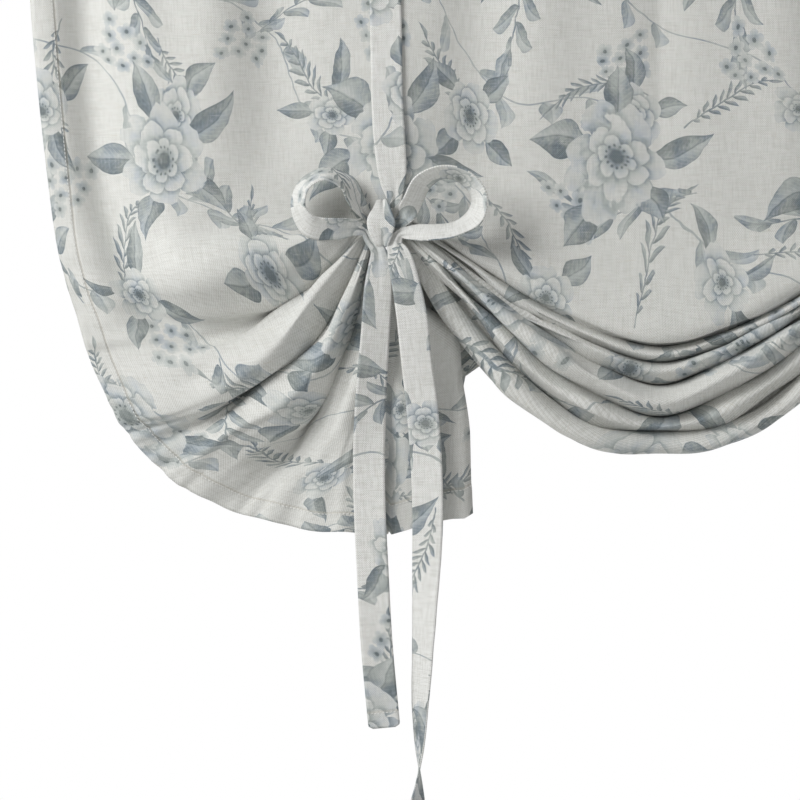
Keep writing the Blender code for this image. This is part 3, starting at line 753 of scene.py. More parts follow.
class Number:
    """A shader value that adds, multiplies and so on into Math nodes."""

    def __init__(self, tree, socket):
        self.tree, self.socket = tree, socket

    def math(self, operation, *others, clamp=False):
        inputs = enumerate((self,) + others)
        made = new_node(self.tree, "ShaderNodeMath", inputs, operation=operation, use_clamp=clamp)
        return Number(self.tree, made.outputs[0])

    def __add__(self, other):
        return self.math("ADD", other)

    def __sub__(self, other):
        return self.math("SUBTRACT", other)

    def __mul__(self, other):
        return self.math("MULTIPLY", other)

    def __truediv__(self, other):
        return self.math("DIVIDE", other)

    def minus_from(self, other):
        """Other minus this."""
        return (self * -1).math("ADD", other)

    def step(self, low, high):
        """A smooth step from 0 at low to 1 at high."""
        inputs = {"Value": self, "From Min": low, "From Max": high}
        made = new_node(self.tree, "ShaderNodeMapRange", inputs, interpolation_type="SMOOTHSTEP")
        return Number(self.tree, made.outputs["Result"])


def feed(made, inputs):
    """Gives a node's inputs, each by its name or number, what they link to or their value."""
    for label, value in dict(inputs).items():
        if isinstance(value, Number):
            value = value.socket
        if isinstance(value, bpy.types.NodeSocket):
            made.id_data.links.new(value, made.inputs[label])
        else:
            made.inputs[label].default_value = value


def new_node(tree, kind, inputs=(), **settings):
    """A node with its settings, and then its inputs."""
    made = tree.nodes.new(kind)
    for label, value in settings.items():
        setattr(made, label, value)
    feed(made, inputs)
    return made


def stitch_tree():
    """Geometry nodes that lay one rounded stitch on each point, along its thread's direction."""
    tree = bpy.data.node_groups.new("stitches", "GeometryNodeTree")
    face = tree.interface
    face.new_socket("Geometry", in_out="OUTPUT", socket_type="NodeSocketGeometry")
    face.new_socket("Geometry", in_out="INPUT", socket_type="NodeSocketGeometry")
    for label in ("Stitch Length", "Thread Width", "Waver"):
        face.new_socket(label, in_out="INPUT", socket_type="NodeSocketFloat")
    face.new_socket("Thread", in_out="INPUT", socket_type="NodeSocketMaterial")
    entry = new_node(tree, "NodeGroupInput").outputs
    length, width, waver = entry["Stitch Length"], entry["Thread Width"], entry["Waver"]

    def new(kind, inputs=(), out=0, **settings):
        return new_node(tree, kind, inputs, **settings).outputs[out]

    def named(label):
        return new("GeometryNodeInputNamedAttribute", {"Name": label}, "Attribute",
                   data_type="FLOAT_VECTOR")

    bead = new("GeometryNodeMeshUVSphere", {"Segments": 6, "Rings": 4, "Radius": 0.5}, "Mesh")
    size = new("ShaderNodeCombineXYZ", {"X": length, "Y": width, "Z": width})
    stitch = new("GeometryNodeTransform", {"Geometry": bead, "Scale": size})
    lie = new("FunctionNodeAxesToRotation",
              {"Primary Axis": named("along"), "Secondary Axis": named("outward")},
              primary_axis="X", secondary_axis="Z")
    least = new("ShaderNodeMath", {0: waver, 1: -1.0}, operation="MULTIPLY")
    angle = new("FunctionNodeRandomValue", {2: least, 3: waver, "Seed": STITCH_SEED}, 1,
                data_type="FLOAT")
    turn = new("FunctionNodeAxisAngleToRotation", {"Axis": (0, 0, 1), "Angle": angle})
    turned = new("FunctionNodeRotateRotation", {"Rotation": lie, "Rotate By": turn},
                 rotation_space="LOCAL")
    laid = new("GeometryNodeInstanceOnPoints",
               {"Points": entry["Geometry"], "Instance": stitch, "Rotation": turned})
    whole = new("GeometryNodeRealizeInstances", {"Geometry": laid})
    rounded = new("GeometryNodeSetShadeSmooth", {"Geometry": whole})
    dressed = new("GeometryNodeSetMaterial", {"Geometry": rounded, "Material": entry["Thread"]})
    new_node(tree, "NodeGroupOutput", {"Geometry": dressed})
    return tree


def stitch_piece(name, stitches, thread):
    """One mesh of stitches from their places, directions and outward ways."""
    mesh = bpy.data.meshes.new(name)
    mesh.from_pydata(stitches[:, :3].tolist(), [], [])
    for label, columns in (("along", slice(3, 6)), ("outward", slice(6, 9))):
        layer = mesh.attributes.new(label, "FLOAT_VECTOR", "POINT")
        layer.data.foreach_set("vector", stitches[:, columns].ravel())
    obj = linked(name, mesh)
    tree = stitch_tree()
    laid = obj.modifiers.new("stitches", "NODES")
    laid.node_group = tree
    inputs = {"Stitch Length": STITCH_LENGTH, "Thread Width": THREAD_WIDTH,
              "Waver": STITCH_WAVER, "Thread": thread}
    for item in tree.interface.items_tree:
        if item.in_out == "INPUT" and item.name in inputs:
            laid[item.identifier] = inputs[item.name]
    made = made_plain(obj)
    made.materials.clear()
    made.materials.append(thread)
    made.polygons.foreach_set("material_index", np.zeros(len(made.polygons), int))
    return obj


def on_cloth(run, face):
    """Stations of a strap that lies on the cloth, in front (1) or behind (-1)."""
    stations = []
    clear = CLOTH / 2 + STRAP_CLEAR + STRAP / 2
    for up, across, width in run:
        share = (KNOT_DROP - up / MM - POCKET_DROP) / (KNOT_DROP - NECK_RISE - POCKET_DROP)
        y = hung_y(share, -KNOT_FORWARD, np.array([-KNOT_SPACING / 2]))[0] - face * clear
        stations.append(((across, up, -y * MM), width, (1, 0, 0)))
    return stations


def strap_piece(name, stations, side, seed, material_list):
    """A doubled strap swept through its stations, in millimetres from the bow, and then set at
    its own bow. Where it is drawn narrow, it creases."""
    places = np.array([s[0] for s in stations], float)
    widths = np.array([s[1] for s in stations], float)[:, None]
    widths *= STRAP_WIDTH / (LISTED_WIDTH / MM)
    sides = np.array([s[2] for s in stations], float)
    sides /= np.linalg.norm(sides, axis=1)[:, None]
    knots = np.append(0, np.cumsum(np.linalg.norm(np.diff(places, axis=0), axis=1)))
    at = np.linspace(0, knots[-1], int(knots[-1] / STRAP_PITCH / MM) + 1)
    path, across = smooth_through(knots, places, at), smooth_through(knots, sides, at)
    width = smooth_through(knots, widths, at)[:, 0]
    to_end = np.minimum(at[-1] - at, STRAP_CORNER)
    width -= 2 * (STRAP_CORNER - np.sqrt(STRAP_CORNER**2 - (STRAP_CORNER - to_end) ** 2))
    along = np.gradient(path, at, axis=0)
    along /= np.linalg.norm(along, axis=1)[:, None]
    across -= along * np.sum(across * along, axis=1)[:, None]
    across /= np.linalg.norm(across, axis=1)[:, None]
    facing = np.cross(across, along)
    rng = np.random.default_rng(seed)
    spread = np.linspace(-0.5, 0.5, STRAP_ACROSS + 1)[None, :]
    drawn = np.clip((PLEATS_START - width) / PLEATS_RUN, 0, 1)[:, None]
    sway, twist, sag = (soft_noise(rng, at, pitch)[:, None] for pitch in STRAP_NOISE)
    pleats = sum(
        share * np.cos(math.tau * (count * spread + drift * sway))
        for share, count, drift in PLEATS
    )
    slack = twist * spread + 0.5 * sag
    lift = PLEAT_HEIGHT * drawn * pleats + STRAP_SLACK * (1 - drawn) * slack
    lift = lift + STRAP_CROWN * (1 - 4 * spread**2)
    points = path[:, None] + across[:, None] * (width[:, None] * spread)[..., None]
    points = points + facing[:, None] * lift[..., None]
    x = (-KNOT_SPACING / 2 * MM + points[..., 0]) * -side
    placed = np.stack([x, -points[..., 2], points[..., 1] - KNOT_DROP * MM], axis=-1) / MM
    u = np.repeat(spread * STRAP_WIDTH, len(at), 0)
    v = np.repeat((at[-1] - at[:, None]) / MM, STRAP_ACROSS + 1, 1)
    uvs = np.stack([u, v], -1)
    if side > 0:
        placed, uvs = placed[:, ::-1], uvs[:, ::-1]
    quads = grid_quads(np.arange(placed[..., 0].size).reshape(placed.shape[:2])).reshape(-1, 4)
    strap = cloth_object(name, placed, quads, uvs, material_list)
    end = int(np.argmin(np.abs(v[:, 0] - STRAP_HEM)))
    inside = slice(1, STRAP_ACROSS)
    end_line = np.concatenate([placed[end, inside], normals(placed)[end, inside]], axis=1)
    return thicken(strap, STRAP), at[-1] / MM, stitches_along(end_line, STRAP / 2)


def group(name, inputs, outputs):
    """A shader node group, with its inputs as Numbers by name. An input whose first value is
    a tuple and the output called Colour are colours, and the rest are numbers."""
    tree = bpy.data.node_groups.new(name, "ShaderNodeTree")
    for label, default in inputs:
        kind = "NodeSocketColor" if isinstance(default, tuple) else "NodeSocketFloat"
        socket = tree.interface.new_socket(label, in_out="INPUT", socket_type=kind)
        socket.default_value = default
    for label in outputs:
        kind = "NodeSocketColor" if label == "Colour" else "NodeSocketFloat"
        tree.interface.new_socket(label, in_out="OUTPUT", socket_type=kind)
    entry = new_node(tree, "NodeGroupInput")
    leave = new_node(tree, "NodeGroupOutput")
    return tree, {label: Number(tree, entry.outputs[label]) for label, _ in inputs}, leave


def finish_group(tree, leave, results):
    """Links what a group puts out, and gives its tree."""
    feed(leave, results)
    return tree


def use(tree, made_group, **values):
    """Places a group and gives its outputs as Numbers."""
    made = new_node(tree, "ShaderNodeGroup", values, node_tree=made_group)
    return [Number(tree, out) for out in made.outputs]


def noise(tree, vector, scale, detail=2.0, roughness=0.5, stretch=(1, 1, 1)):
    """Noise over a vector socket, stretched along its axes."""
    mapping = new_node(tree, "ShaderNodeMapping", {"Scale": stretch, "Vector": vector})
    inputs = {"Scale": scale, "Detail": detail, "Roughness": roughness,
              "Vector": mapping.outputs["Vector"]}
    return Number(tree, new_node(tree, "ShaderNodeTexNoise", inputs).outputs[0])


def combine(x, y, z=0.0):
    """A vector socket from one Number at least."""
    return new_node(x.tree, "ShaderNodeCombineXYZ", enumerate((x, y, z))).outputs["Vector"]


def split(tree, vector):
    """A vector socket as three Numbers."""
    made = new_node(tree, "ShaderNodeSeparateXYZ", {0: vector})
    return [Number(tree, out) for out in made.outputs]


def chance_at(tree, vector):
    """A random Number, 0 to 1, for each vector, and a socket of three more."""
    made = new_node(tree, "ShaderNodeTexWhiteNoise", {"Vector": vector})
    return Number(tree, made.outputs["Value"]), made.outputs["Color"]


def reach_from_middle(x, y):
    """How far a place is from the motif's middle."""
    return (x * x + y * y).math("SQRT")


def turn_about_middle(x, y):
    """The way round from the x axis, in whole turns."""
    return y.math("ARCTAN2", x) / math.tau


def over(below, mask, ink):
    """Ink laid on what is already printed."""
    return below + (ink - below) * mask


def scatter_group():
    """One motif to a cell of staggered rows: places from the motif's middle, turned at random."""
    sizes = [("X", 0), ("Y", 0), ("Cell", 100), ("Shift", 0), ("Jitter", 10), ("Seed", 1)]
    tree, at, leave = group("scatter", sizes, ["x", "y", "Chance", "Pick"])
    down = (at["Y"] + at["Shift"]) / at["Cell"]
    row = down.math("FLOOR")
    across = (at["X"] + at["Shift"] * 1.7) / at["Cell"] + row * 0.5
    column = across.math("FLOOR")
    chance, more = chance_at(tree, combine(column, row, at["Seed"]))
    move_x, move_y, turn = split(tree, more)
    x = (across - column - 0.5) * at["Cell"] + (move_x - 0.5) * at["Jitter"] * 2
    y = (down - row - 0.5) * at["Cell"] + (move_y - 0.5) * at["Jitter"] * 2
    inputs = {"Vector": combine(x, y), "Angle": turn * math.tau}
    turned = new_node(tree, "ShaderNodeVectorRotate", inputs, rotation_type="Z_AXIS")
    x, y, _ = split(tree, turned.outputs["Vector"])
    return finish_group(tree, leave, {"x": x, "y": y, "Chance": chance, "Pick": move_x})


def leaf_group():
    """A leaf that runs along x from 0: where it is, and how much ink it takes."""
    sizes = [("x", 0), ("y", 0), ("Length", 40), ("Width", 16), ("Curl", 0)]
    tree, at, leave = group("leaf", sizes, ["Mask", "Ink"])
    along = (at["x"] / at["Length"]).math("ADD", 0.0, clamp=True)
    y = at["y"] - along * along.minus_from(1.0) * at["Curl"] * 4
    half = (along.math("POWER", 0.78) * math.pi).math("SINE").math("POWER", 1.15)
    inside = half * at["Width"] * 0.5 - y.math("ABSOLUTE")
    mask = inside.step(-0.2, 0.5)
    off = y.math("ABSOLUTE")
    dark_side = y.step(0.6, -0.6)
    midrib = off.step(0.95, 0.30)
    veins = ((at["x"] - off * 1.2) * 1.25).math("SINE").step(0.35, 1.0) * off.step(0.4, 2.5)
    rim = inside.step(1.7, 0.1)
    middle = (off / at["Width"]).step(0.32, 0.05)
    ink = along * -0.16 + 0.72 + dark_side * 0.20 - middle * 0.14 + rim * 0.16
    ink = ink + midrib * 0.16 - veins * 0.07
    return finish_group(tree, leave, {"Mask": mask, "Ink": ink})


def leaf_pairs(tree, leaf, x, y, spacing, slant, size, width, curl, seed):
    """Leaves that slant off both sides of the line y = 0, each with its own luck, 0 to 1."""
    side, off = y.math("SIGN"), y.math("ABSOLUTE")
    root = x - off / math.tan(slant) + side * spacing * 0.23
    number = (root / spacing).math("ROUND")
    station = number * spacing
    luck, _ = chance_at(tree, combine(number, side, seed))
    size = size(station) if callable(size) else size
    mask, ink = use(tree, leaf, x=off / math.sin(slant), y=(root - station) * math.sin(slant),
                    Length=size * (luck * 0.35 + 0.75), Width=width, Curl=curl)
    return mask, ink, station, luck


def spray_group(leaf):
    """A bent stem along x with slanting pairs of leaflets and one at its tip."""
    sizes = [("x", 0), ("y", 0), ("Length", 110), ("Leaflet", 28), ("Leaf_Width", 11),
             ("Spacing", 16), ("Bend", 0.003)]
    tree, at, leave = group("spray", sizes, ["Mask", "Ink"])
    x = at["x"] + at["Length"] * 0.5
    y = at["y"] - at["x"] * at["x"] * at["Bend"]

    def leaflet(station):
        share = (station / at["Length"]).math("ADD", 0.0, clamp=True)
        return (share * 2.45 + 0.45).math("SINE") * at["Leaflet"]

    mask, ink, station, _ = leaf_pairs(tree, leaf, x, y, at["Spacing"], math.radians(46), leaflet,
                                       at["Leaf_Width"], at["Leaf_Width"] * 0.22, at["Bend"])
    mask = mask * station.step(-0.9, -0.2) * (at["Length"] - station).step(-0.9, -0.2)
    tip, tip_ink = use(tree, leaf, x=x - at["Length"], y=y, Length=at["Leaflet"],
                       Width=at["Leaf_Width"], Curl=1.5)
    stem = y.math("ABSOLUTE").step(1.05, 0.5) * x.step(-14, -12) * (x - at["Length"]).step(2, 1)
    ink = over(over(stem * 0.80, tip, tip_ink), mask, ink)
    whole = mask.math("MAXIMUM", tip).math("MAXIMUM", stem)
    return finish_group(tree, leave, {"Mask": whole, "Ink": ink})


def garland_group(leaf):
    """Endless wavy stems, row under row, with leaves set off them now and then."""
    sizes = [("X", 0), ("Y", 0), ("Row", 150), ("Wave", 20), ("Wave_Length", 230),
             ("Spacing", 38), ("Leaflet", 36), ("Leaf_Width", 15), ("Leaf_Share", 0.6)]
    tree, at, leave = group("garland", sizes, ["Mask", "Ink"])
    down = at["Y"] / at["Row"]
    row = down.math("FLOOR")
    swing = at["X"] / at["Wave_Length"] * math.tau + row * 2.4
    y = (down - row - 0.5) * at["Row"] + swing.math("SINE") * at["Wave"]
    mask, ink, _, luck = leaf_pairs(tree, leaf, at["X"], y, at["Spacing"], math.radians(52),
                                    at["Leaflet"], at["Leaf_Width"], at["Leaf_Width"] * 0.25, row)
    mask = mask * (luck - at["Leaf_Share"]).step(0.01, 0.0)
    stem = y.math("ABSOLUTE").step(1.15, 0.6)
    ink = over(stem * 0.78, mask, ink)
    return finish_group(tree, leave, {"Mask": mask.math("MAXIMUM", stem), "Ink": ink})


def blossom_group():
    """An open flower of three rounds of petals about a heart of stamens."""
    sizes = [("x", 0), ("y", 0), ("Radius", 44), ("Petals", 6), ("Waver", 0)]
    tree, at, leave = group("blossom", sizes, ["Mask", "Ink"])
    reach = reach_from_middle(at["x"], at["y"]) / at["Radius"]
    turn = turn_about_middle(at["x"], at["y"]) + at["Waver"] * 0.10
    mask = ink = None
    for size, phase, pale, dark in PETAL_ROUNDS:
        spoke = (turn * at["Petals"] + phase).math("FRACT") - 0.5
        bowed = (spoke * math.pi).math("COSINE").math("POWER", 0.5)
        notch = spoke.math("ABSOLUTE").step(0.12, 0.0) * 0.035
        edge = (bowed * 0.36 + 0.64 + at["Waver"] * 0.45 - notch) * size
        within = edge - reach
        here = within.step(0.0, 0.018)
        inward = (reach / edge).step(1.05, 0.15)
        groove = (spoke * 2).math("ABSOLUTE").step(0.50, 1.0)
        streak = ((spoke * 44).math("SINE") * 0.5 + 0.5) * inward * 0.13
        outline = within.step(0.030, 0.0)
        petal = inward * (dark - pale) + pale + groove * 0.20 + streak + outline * 0.34
        if mask is None:
            mask, ink = here, petal
        else:
            cast = within.step(-0.13, 0.0) * here.minus_from(1.0)
            ink = over(ink + cast * 0.20, here, petal)
    ring = (turn * STAMENS).math("FRACT") - 0.5
    dot = (ring * 0.11).math("POWER", 2.0) + (reach - 0.215).math("POWER", 2.0)
    heart = dot.math("SQRT").step(0.034, 0.016).math("MAXIMUM", reach.step(0.15, 0.11))
    ink = over(ink, heart, reach * 0 + 0.98)
    return finish_group(tree, leave, {"Mask": mask, "Ink": ink})


def collar_group(leaf):
    """Leaves that stand out all round a flower."""
    sizes = [("x", 0), ("y", 0), ("Start", 34), ("Length", 44), ("Width", 20), ("Count", 5),
             ("Chance", 0.5)]
    tree, at, leave = group("collar", sizes, ["Mask", "Ink"])
    reach = reach_from_middle(at["x"], at["y"])
    turn = turn_about_middle(at["x"], at["y"]) * at["Count"]
    sector = turn.math("ROUND")
    angle = (turn - sector) * math.tau / at["Count"]
    luck, _ = chance_at(tree, combine(sector, at["Chance"] * 91))
    along = reach * angle.math("COSINE") - at["Start"]
    mask, ink = use(tree, leaf, x=along, y=reach * angle.math("SINE"),
                    Length=at["Length"] * (luck * 0.40 + 0.62), Width=at["Width"],
                    Curl=(luck - 0.5) * at["Width"] * 0.7)
    return finish_group(tree, leave, {"Mask": mask * luck.step(0.20, 0.21), "Ink": ink})


def floret_group():
    """A loose head of small five-petal flowers."""
    sizes = [("x", 0), ("y", 0), ("Radius", 24), ("Pitch", 15)]
    tree, at, leave = group("florets", sizes, ["Mask", "Ink"])
    x, y = at["x"] / at["Pitch"], at["y"] / at["Pitch"]
    inputs = {"Scale": 1.0, "Randomness": 0.55, "Vector": combine(x, y)}
    cells = new_node(tree, "ShaderNodeTexVoronoi", inputs, voronoi_dimensions="2D")
    centre_x, centre_y, _ = split(tree, cells.outputs["Position"])
    turn = (y - centre_y).math("ARCTAN2", x - centre_x) * 2.5
    bowed = turn.math("COSINE").math("ABSOLUTE").math("POWER", 0.45)
    size = Number(tree, cells.outputs["Distance"]) * 1.85
    within = bowed * 0.50 + 0.50 - size
    held = reach_from_middle(centre_x, centre_y) * at["Pitch"]
    mask = within.step(0.0, 0.07) * (held - at["Radius"]).step(0.1, 0.0)
    ink = size.step(1.0, 0.15) * 0.30 + 0.26 + within.step(0.14, 0.0) * 0.26
    ink = over(ink, size.step(0.27, 0.17), size * 0 + 1.0)
    return finish_group(tree, leave, {"Mask": mask, "Ink": ink})


def print_group():
    """The floral print over flat cloth places in millimetres: how much ink, 0 bare to 1 full,
    and how cool it is."""
    tree, at, leave = group("floral_print", [("X", 0), ("Y", 0)], ["Ink", "Cool"])
    leaf, blossom, florets = leaf_group(), blossom_group(), floret_group()
    scatter = scatter_group()
    spray, collar, garland = spray_group(leaf), collar_group(leaf), garland_group(leaf)
    where = combine(at["X"], at["Y"])
    drift = noise(tree, where, 0.010, 1.0)
    waver = noise(tree, where, 0.055, 2.0)
    x = at["X"] + (waver - 0.5) * 8
    y = at["Y"] + (drift - 0.5) * 60

    def place(cell, shift, jitter, seed):
        return use(tree, scatter, X=x, Y=y, Cell=cell, Shift=shift, Jitter=jitter, Seed=seed)

    def lay(below, motif, share=1.0, **sizes):
        mask, tone = use(tree, motif, **sizes)
        return over(below, mask * share, tone * LAYER_TONES[motif.name])

    # Trailing stems lie lowest, then sprays, heads of florets and the flowers.
    lean = math.radians(38)
    across = x * math.cos(lean) + y * math.sin(lean)
    down = y * math.cos(lean) - x * math.sin(lean)
    ink = lay(x * 0, garland, X=across, Y=down, Row=132.0, Leaf_Share=0.48)
    motif_x, motif_y, _, pick = place(128.0, 37.0, 6.0, 2.0)
    ink = lay(ink, spray, x=motif_x, y=motif_y, Length=74.0, Leaflet=18.0, Leaf_Width=4.2,
              Spacing=8.4, Bend=(pick - 0.5) * 0.010)
    motif_x, motif_y, _, pick = place(186.0, 71.0, 9.0, 5.0)
    ink = lay(ink, spray, x=motif_x, y=motif_y, Length=108.0, Leaflet=36.0, Leaf_Width=13.5,
              Spacing=27.0, Bend=(pick - 0.5) * 0.009)
    motif_x, motif_y, chance, _ = place(118.0, 13.0, 12.0, 9.0)
    ink = lay(ink, florets, chance.step(0.40, 0.41), x=motif_x, y=motif_y, Radius=26.0)
    for placed, leaves, petals in FLOWERS:
        motif_x, motif_y, chance, _ = place(*placed)
        ink = lay(ink, collar, x=motif_x, y=motif_y, Chance=chance, **leaves)
        ink = lay(ink, blossom, x=motif_x, y=motif_y, Waver=waver - 0.5, **petals)
    # A brush's wash: pools and pale patches.
    wash = noise(tree, where, 0.045, 3.0, 0.6)
    grain = noise(tree, where, 0.30, 2.0, 0.6)
    ink = ink * (wash.step(0.28, 0.72) * 0.44 + 0.74) * (grain * 0.40 + 0.80)
    return finish_group(tree, leave, {"Ink": ink, "Cool": wash.step(0.42, 0.66)})


def weave_group():
    """Linen-look weave: height, thread-to-thread shade and beige slubs, from millimetres."""
    tree, at, leave = group("linen_weave", [("X", 0), ("Y", 0)], ["Height", "Shade", "Slub"])
    where = combine(at["X"], at["Y"])
    warp = (at["X"] * (math.tau / THREAD_PITCH)).math("SINE")
    weft = (at["Y"] * (math.tau / THREAD_PITCH)).math("SINE")
    basket = warp * weft
    warp_thick = noise(tree, where, 1.0, 2.0, 0.65, (0.85, 0.050, 1))
    weft_thick = noise(tree, where, 1.0, 2.0, 0.65, (0.050, 0.85, 1))
    threads = warp_thick + weft_thick
    shade = (threads - 1.0) * 1.5 + basket * 0.50
    height = basket * 0.9 + threads * 1.2
    slub = warp_thick.step(0.64, 0.74).math("MAXIMUM", weft_thick.step(0.62, 0.72))
    flecks = noise(tree, where, 1.0, 1.0, 0.5, (0.22, 0.95, 1)).step(0.69, 0.75)
    slub = slub.math("MAXIMUM", flecks)
    return finish_group(tree, leave, {"Height": height, "Shade": shade, "Slub": slub})


def mix_colour(tree, factor, low, high):
    """The colour that is a factor of the way from low to high."""
    inputs = {"Factor": factor, 6: low, 7: high}
    return new_node(tree, "ShaderNodeMix", inputs, data_type="RGBA").outputs[2]


def dye_group():
    """The cloth's colour, from how much ink it took, how cool that is and its threads, with
    painted highlights on the raised threads.
    """
    inputs = [("Ink", 0), ("Cool", 0), ("Shade", 0), ("Slub", 0), ("Linen", LINEN)]
    tree, at, leave = group("linen_dye", inputs, ["Colour"])
    ink, cool, shade, slub = at["Ink"], at["Cool"], at["Shade"], at["Slub"]
    bare = mix_colour(tree, shade.step(0.45, -0.55), at["Linen"].socket, LINEN_SHADE)
    bare = mix_colour(tree, slub * 0.60, bare, SLUB)
    pale = mix_colour(tree, cool, INK_LIGHT, INK_LIGHT_COOL)
    full = mix_colour(tree, cool, INK, INK_COOL)
    light = mix_colour(tree, ink.step(0.02, 0.50), bare, pale)
    middle = mix_colour(tree, ink.step(0.32, 0.92), light, full)
    colour = mix_colour(tree, ink.step(0.85, 1.10) * 0.7, middle, INK_DEEP)
    # Raised threads and slubs go back towards the bare linen. This is partly the print breaking
    # on them, and partly a painted highlight on the raised threads.
    colour_with_highlights = mix_colour(tree, shade.step(0.05, 0.60) * 0.16 + slub * 0.14, colour, LINEN)
    return finish_group(tree, leave, {"Colour": colour_with_highlights})


def seam_group():
    """A line of stitches beside a folded hem: how much it marks the cloth, and its relief.
    Off and Along are millimetres from the line and along it, and Fold is which way it lies."""
    tree, at, leave = group("seam", [("Off", 0), ("Along", 0), ("Fold", 1)], ["Mark", "Relief"])
    seam = at["Off"].math("ABSOLUTE")
    beat = (at["Along"] / (STITCH_PITCH * MM)).math("FRACT") - 0.5
    pucker = seam.step(2.8, 0.2) * (beat.math("ABSOLUTE").step(0.0, 0.5) * 0.5 + 0.5)
    fold = (at["Off"] * at["Fold"]).step(-0.4, 0.4)
    relief = fold * 1.2 - pucker * 2.0
    return finish_group(tree, leave, {"Mark": seam.step(1.6, 0.3) * 0.35, "Relief": relief})


def new_material(name):
    """A material, its tree and its shader."""
    made = bpy.data.materials.new(name)
    made.use_nodes = True
    return made, made.node_tree, made.node_tree.nodes["Principled BSDF"]


def cloth_material(name, groups, linen, strength, shift, seams):
    """Printed cloth on its own flat places. Seams are lines of stitches, each by its axis,
    its place in millimetres and which way its fold lies."""
    floral, weave, dye, seam = groups
    made, tree, shader = new_material(name)
    flat = new_node(tree, "ShaderNodeUVMap", uv_map=FLAT_MAP)
    u, v, _ = split(tree, flat.outputs["UV"])
    x, y = u * MM, v * MM
    ink, cool = use(tree, floral, X=x + shift[0], Y=y + shift[1])
    height, shade, slub = use(tree, weave, X=x, Y=y)
    ink = (ink * strength - shade * 0.07).math("ADD", 0.0, clamp=True)
    [colour] = use(tree, dye, Ink=ink, Cool=cool, Shade=shade, Slub=slub, Linen=linen)
    # The dye's colour carries its painted highlights on the raised threads.
    colour_with_highlights, ridge = colour.socket, height * 0.5
    for axis, place, fold in seams:
        off, along = (x.math("ABSOLUTE"), y) if axis == "x" else (y, x)
        mark, relief = use(tree, seam, Off=off - place, Along=along, Fold=fold)
        colour_with_highlights = mix_colour(tree, mark, colour_with_highlights, SLUB)
        ridge = ridge + relief
    inputs = {"Strength": RELIEF_STRENGTH, "Distance": RELIEF_DEPTH, "Height": ridge}
    feed(shader, {
        "Normal": new_node(tree, "ShaderNodeBump", inputs).outputs["Normal"],
        "Base Color": colour_with_highlights,
        "Roughness": shade.step(-0.8, 0.8) * -0.10 + 0.95 - ink * 0.05,
        "Sheen Weight": 0.12,
        "Sheen Roughness": 0.5,
        "Specular IOR Level": 0.2,
    })
    return made


def thread_material():
    """White sewing thread with the slant of its twist."""
    made, tree, shader = new_material("sewing_thread")
    where = new_node(tree, "ShaderNodeTexCoord").outputs["Object"]
    twist = noise(tree, where, 2400.0, 1.0, 0.5, (1, 0.4, 1))
    bump = new_node(tree, "ShaderNodeBump", {"Distance": THREAD_RELIEF, "Height": twist})
    feed(shader, {
        "Base Color": mix_colour(tree, twist, THREAD_SHADE, THREAD),
        "Roughness": twist * 0.2 + 0.55,
        "Normal": bump.outputs["Normal"],
    })
    return made


def add_camera():
    """A view straight from the front, with PIXEL metres of the panel to a pixel."""
    data = bpy.data.cameras.new("camera")
    data.sensor_width = FILM
    data.lens = FILM * VIEW_DISTANCE / (PICTURE * PIXEL)
    camera = linked("camera", data)
    x, y, z = VIEW_MIDDLE
    camera.location = (x, y - VIEW_DISTANCE, z)
    camera.rotation_euler = (math.pi / 2, 0, 0)
    bpy.context.scene.camera = camera


def add_lamps():
    """Square area lamps, each turned to what it lights."""
    for name, (place, aim, size, power) in LAMPS.items():
        data = bpy.data.lights.new(name, "AREA")
        data.size, data.energy = size, power
        lamp = linked(name, data)
        lamp.location = place
        lamp.rotation_euler = (Vector(aim) - Vector(place)).to_track_quat("-Z", "Y").to_euler()


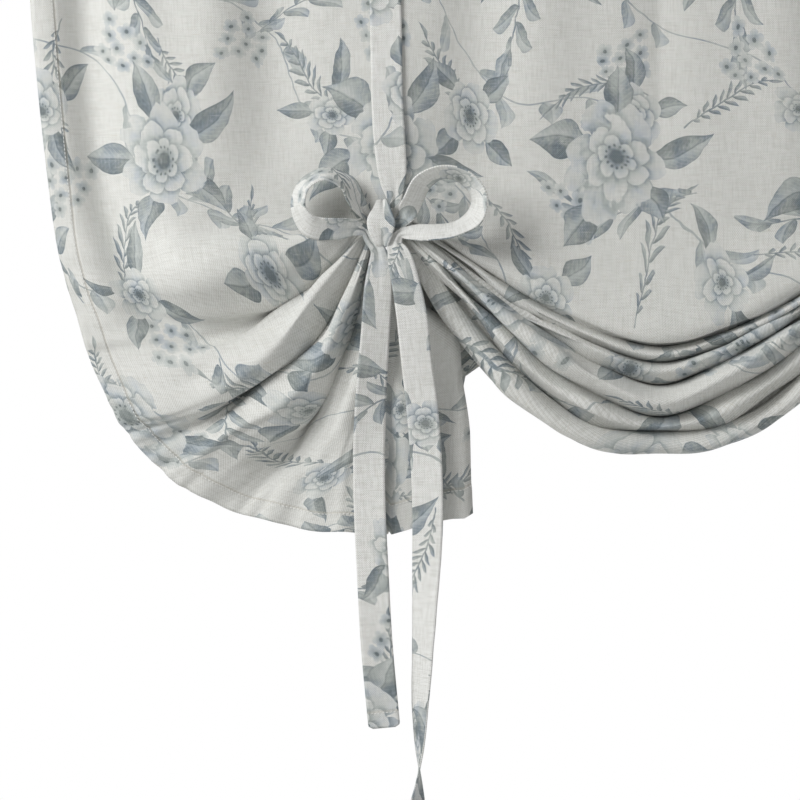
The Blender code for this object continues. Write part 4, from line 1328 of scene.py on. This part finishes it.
def add_world():
    """An even dim light that the camera and reflections see as plain white."""
    world = bpy.data.worlds.new("studio")
    world.use_nodes = True
    tree = world.node_tree
    path = new_node(tree, "ShaderNodeLightPath").outputs
    inputs = {0: path["Is Glossy Ray"], 1: path["Is Transmission Ray"]}
    either = new_node(tree, "ShaderNodeMath", inputs, operation="MAXIMUM")
    inputs = {0: path["Is Camera Ray"], 1: 1.0, 2: either.outputs[0]}
    seen = new_node(tree, "ShaderNodeMath", inputs, operation="MULTIPLY_ADD", use_clamp=True)
    inputs = {"To Min": WORLD_LEVEL, "To Max": 1.0, "Value": seen.outputs[0]}
    level = new_node(tree, "ShaderNodeMapRange", inputs).outputs["Result"]
    feed(tree.nodes["Background"], {"Color": (1, 1, 1, 1), "Strength": level})
    bpy.context.scene.world = world


def add_floor():
    """A pale floor below the panel."""
    half, height = FLOOR_HALF, FLOOR_LEVEL
    mesh = bpy.data.meshes.new("floor")
    corners = [(-half, -half, height), (half, -half, height), (half, half, height),
               (-half, half, height)]
    mesh.from_pydata(corners, [], [(0, 1, 2, 3)])
    made, _, shader = new_material("pale_floor")
    feed(shader, {"Base Color": FLOOR, "Roughness": 0.9})
    mesh.materials.append(made)
    floor = linked("floor", mesh)


def main():
    groups = print_group(), weave_group(), dye_group(), seam_group()
    hems = [
        ("x", (FLAT_WIDTH / 2 - SIDE_HEM) * MM, 1),
        ("y", (HEM_CLOTH - BOTTOM_HEM) * MM, 1),
        ("y", POCKET_CLOTH * MM, -1),
    ]
    strap_hem = [("y", (STRAP_HEM + SEAM_INSET) * MM, -1)]
    cloth = [
        cloth_material("printed_linen", groups, LINEN, 1.0, (0, 0), hems),
        cloth_material("linen_reverse", groups, LINEN, REVERSE_INK, (0, 0), hems),
    ]
    # The straps' cloth colour is lighter, partly painted light.
    strap_cloth = [
        cloth_material("strap_linen", groups, STRAP_LINEN_PAINTED_LIGHT, 1.0, STRAP_SHIFT, strap_hem),
        cloth_material("strap_lining", groups, STRAP_LINEN_PAINTED_LIGHT, 1.0, LINING_SHIFT, strap_hem),
    ]
    panel, stitches = panel_sheet(cloth)
    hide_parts("panel")
    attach(panel, "root")
    for side, label in ((-1, "left"), (1, "right")):
        for kind, stations, seed in (
            ("front", on_cloth(FRONT_RUN, 1) + FRONT_BOW, 3),
            ("back", on_cloth(BACK_RUN, -1) + BACK_BOW, 5),
        ):
            node = label + "_" + kind + "_strap"
            strap, length, end_stitches = strap_piece(
                node + "_cloth", stations, side, seed + side, strap_cloth
            )
            stitches = np.concatenate([stitches, end_stitches])
            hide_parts(node)
            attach(strap, "root")
    sewing = stitch_piece("seam_stitches", stitches, thread_material())
    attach(sewing, "root")
    add_floor()
    add_world()
    add_lamps()
    add_camera()
    bpy.context.scene.view_settings.view_transform = "Standard"


main()
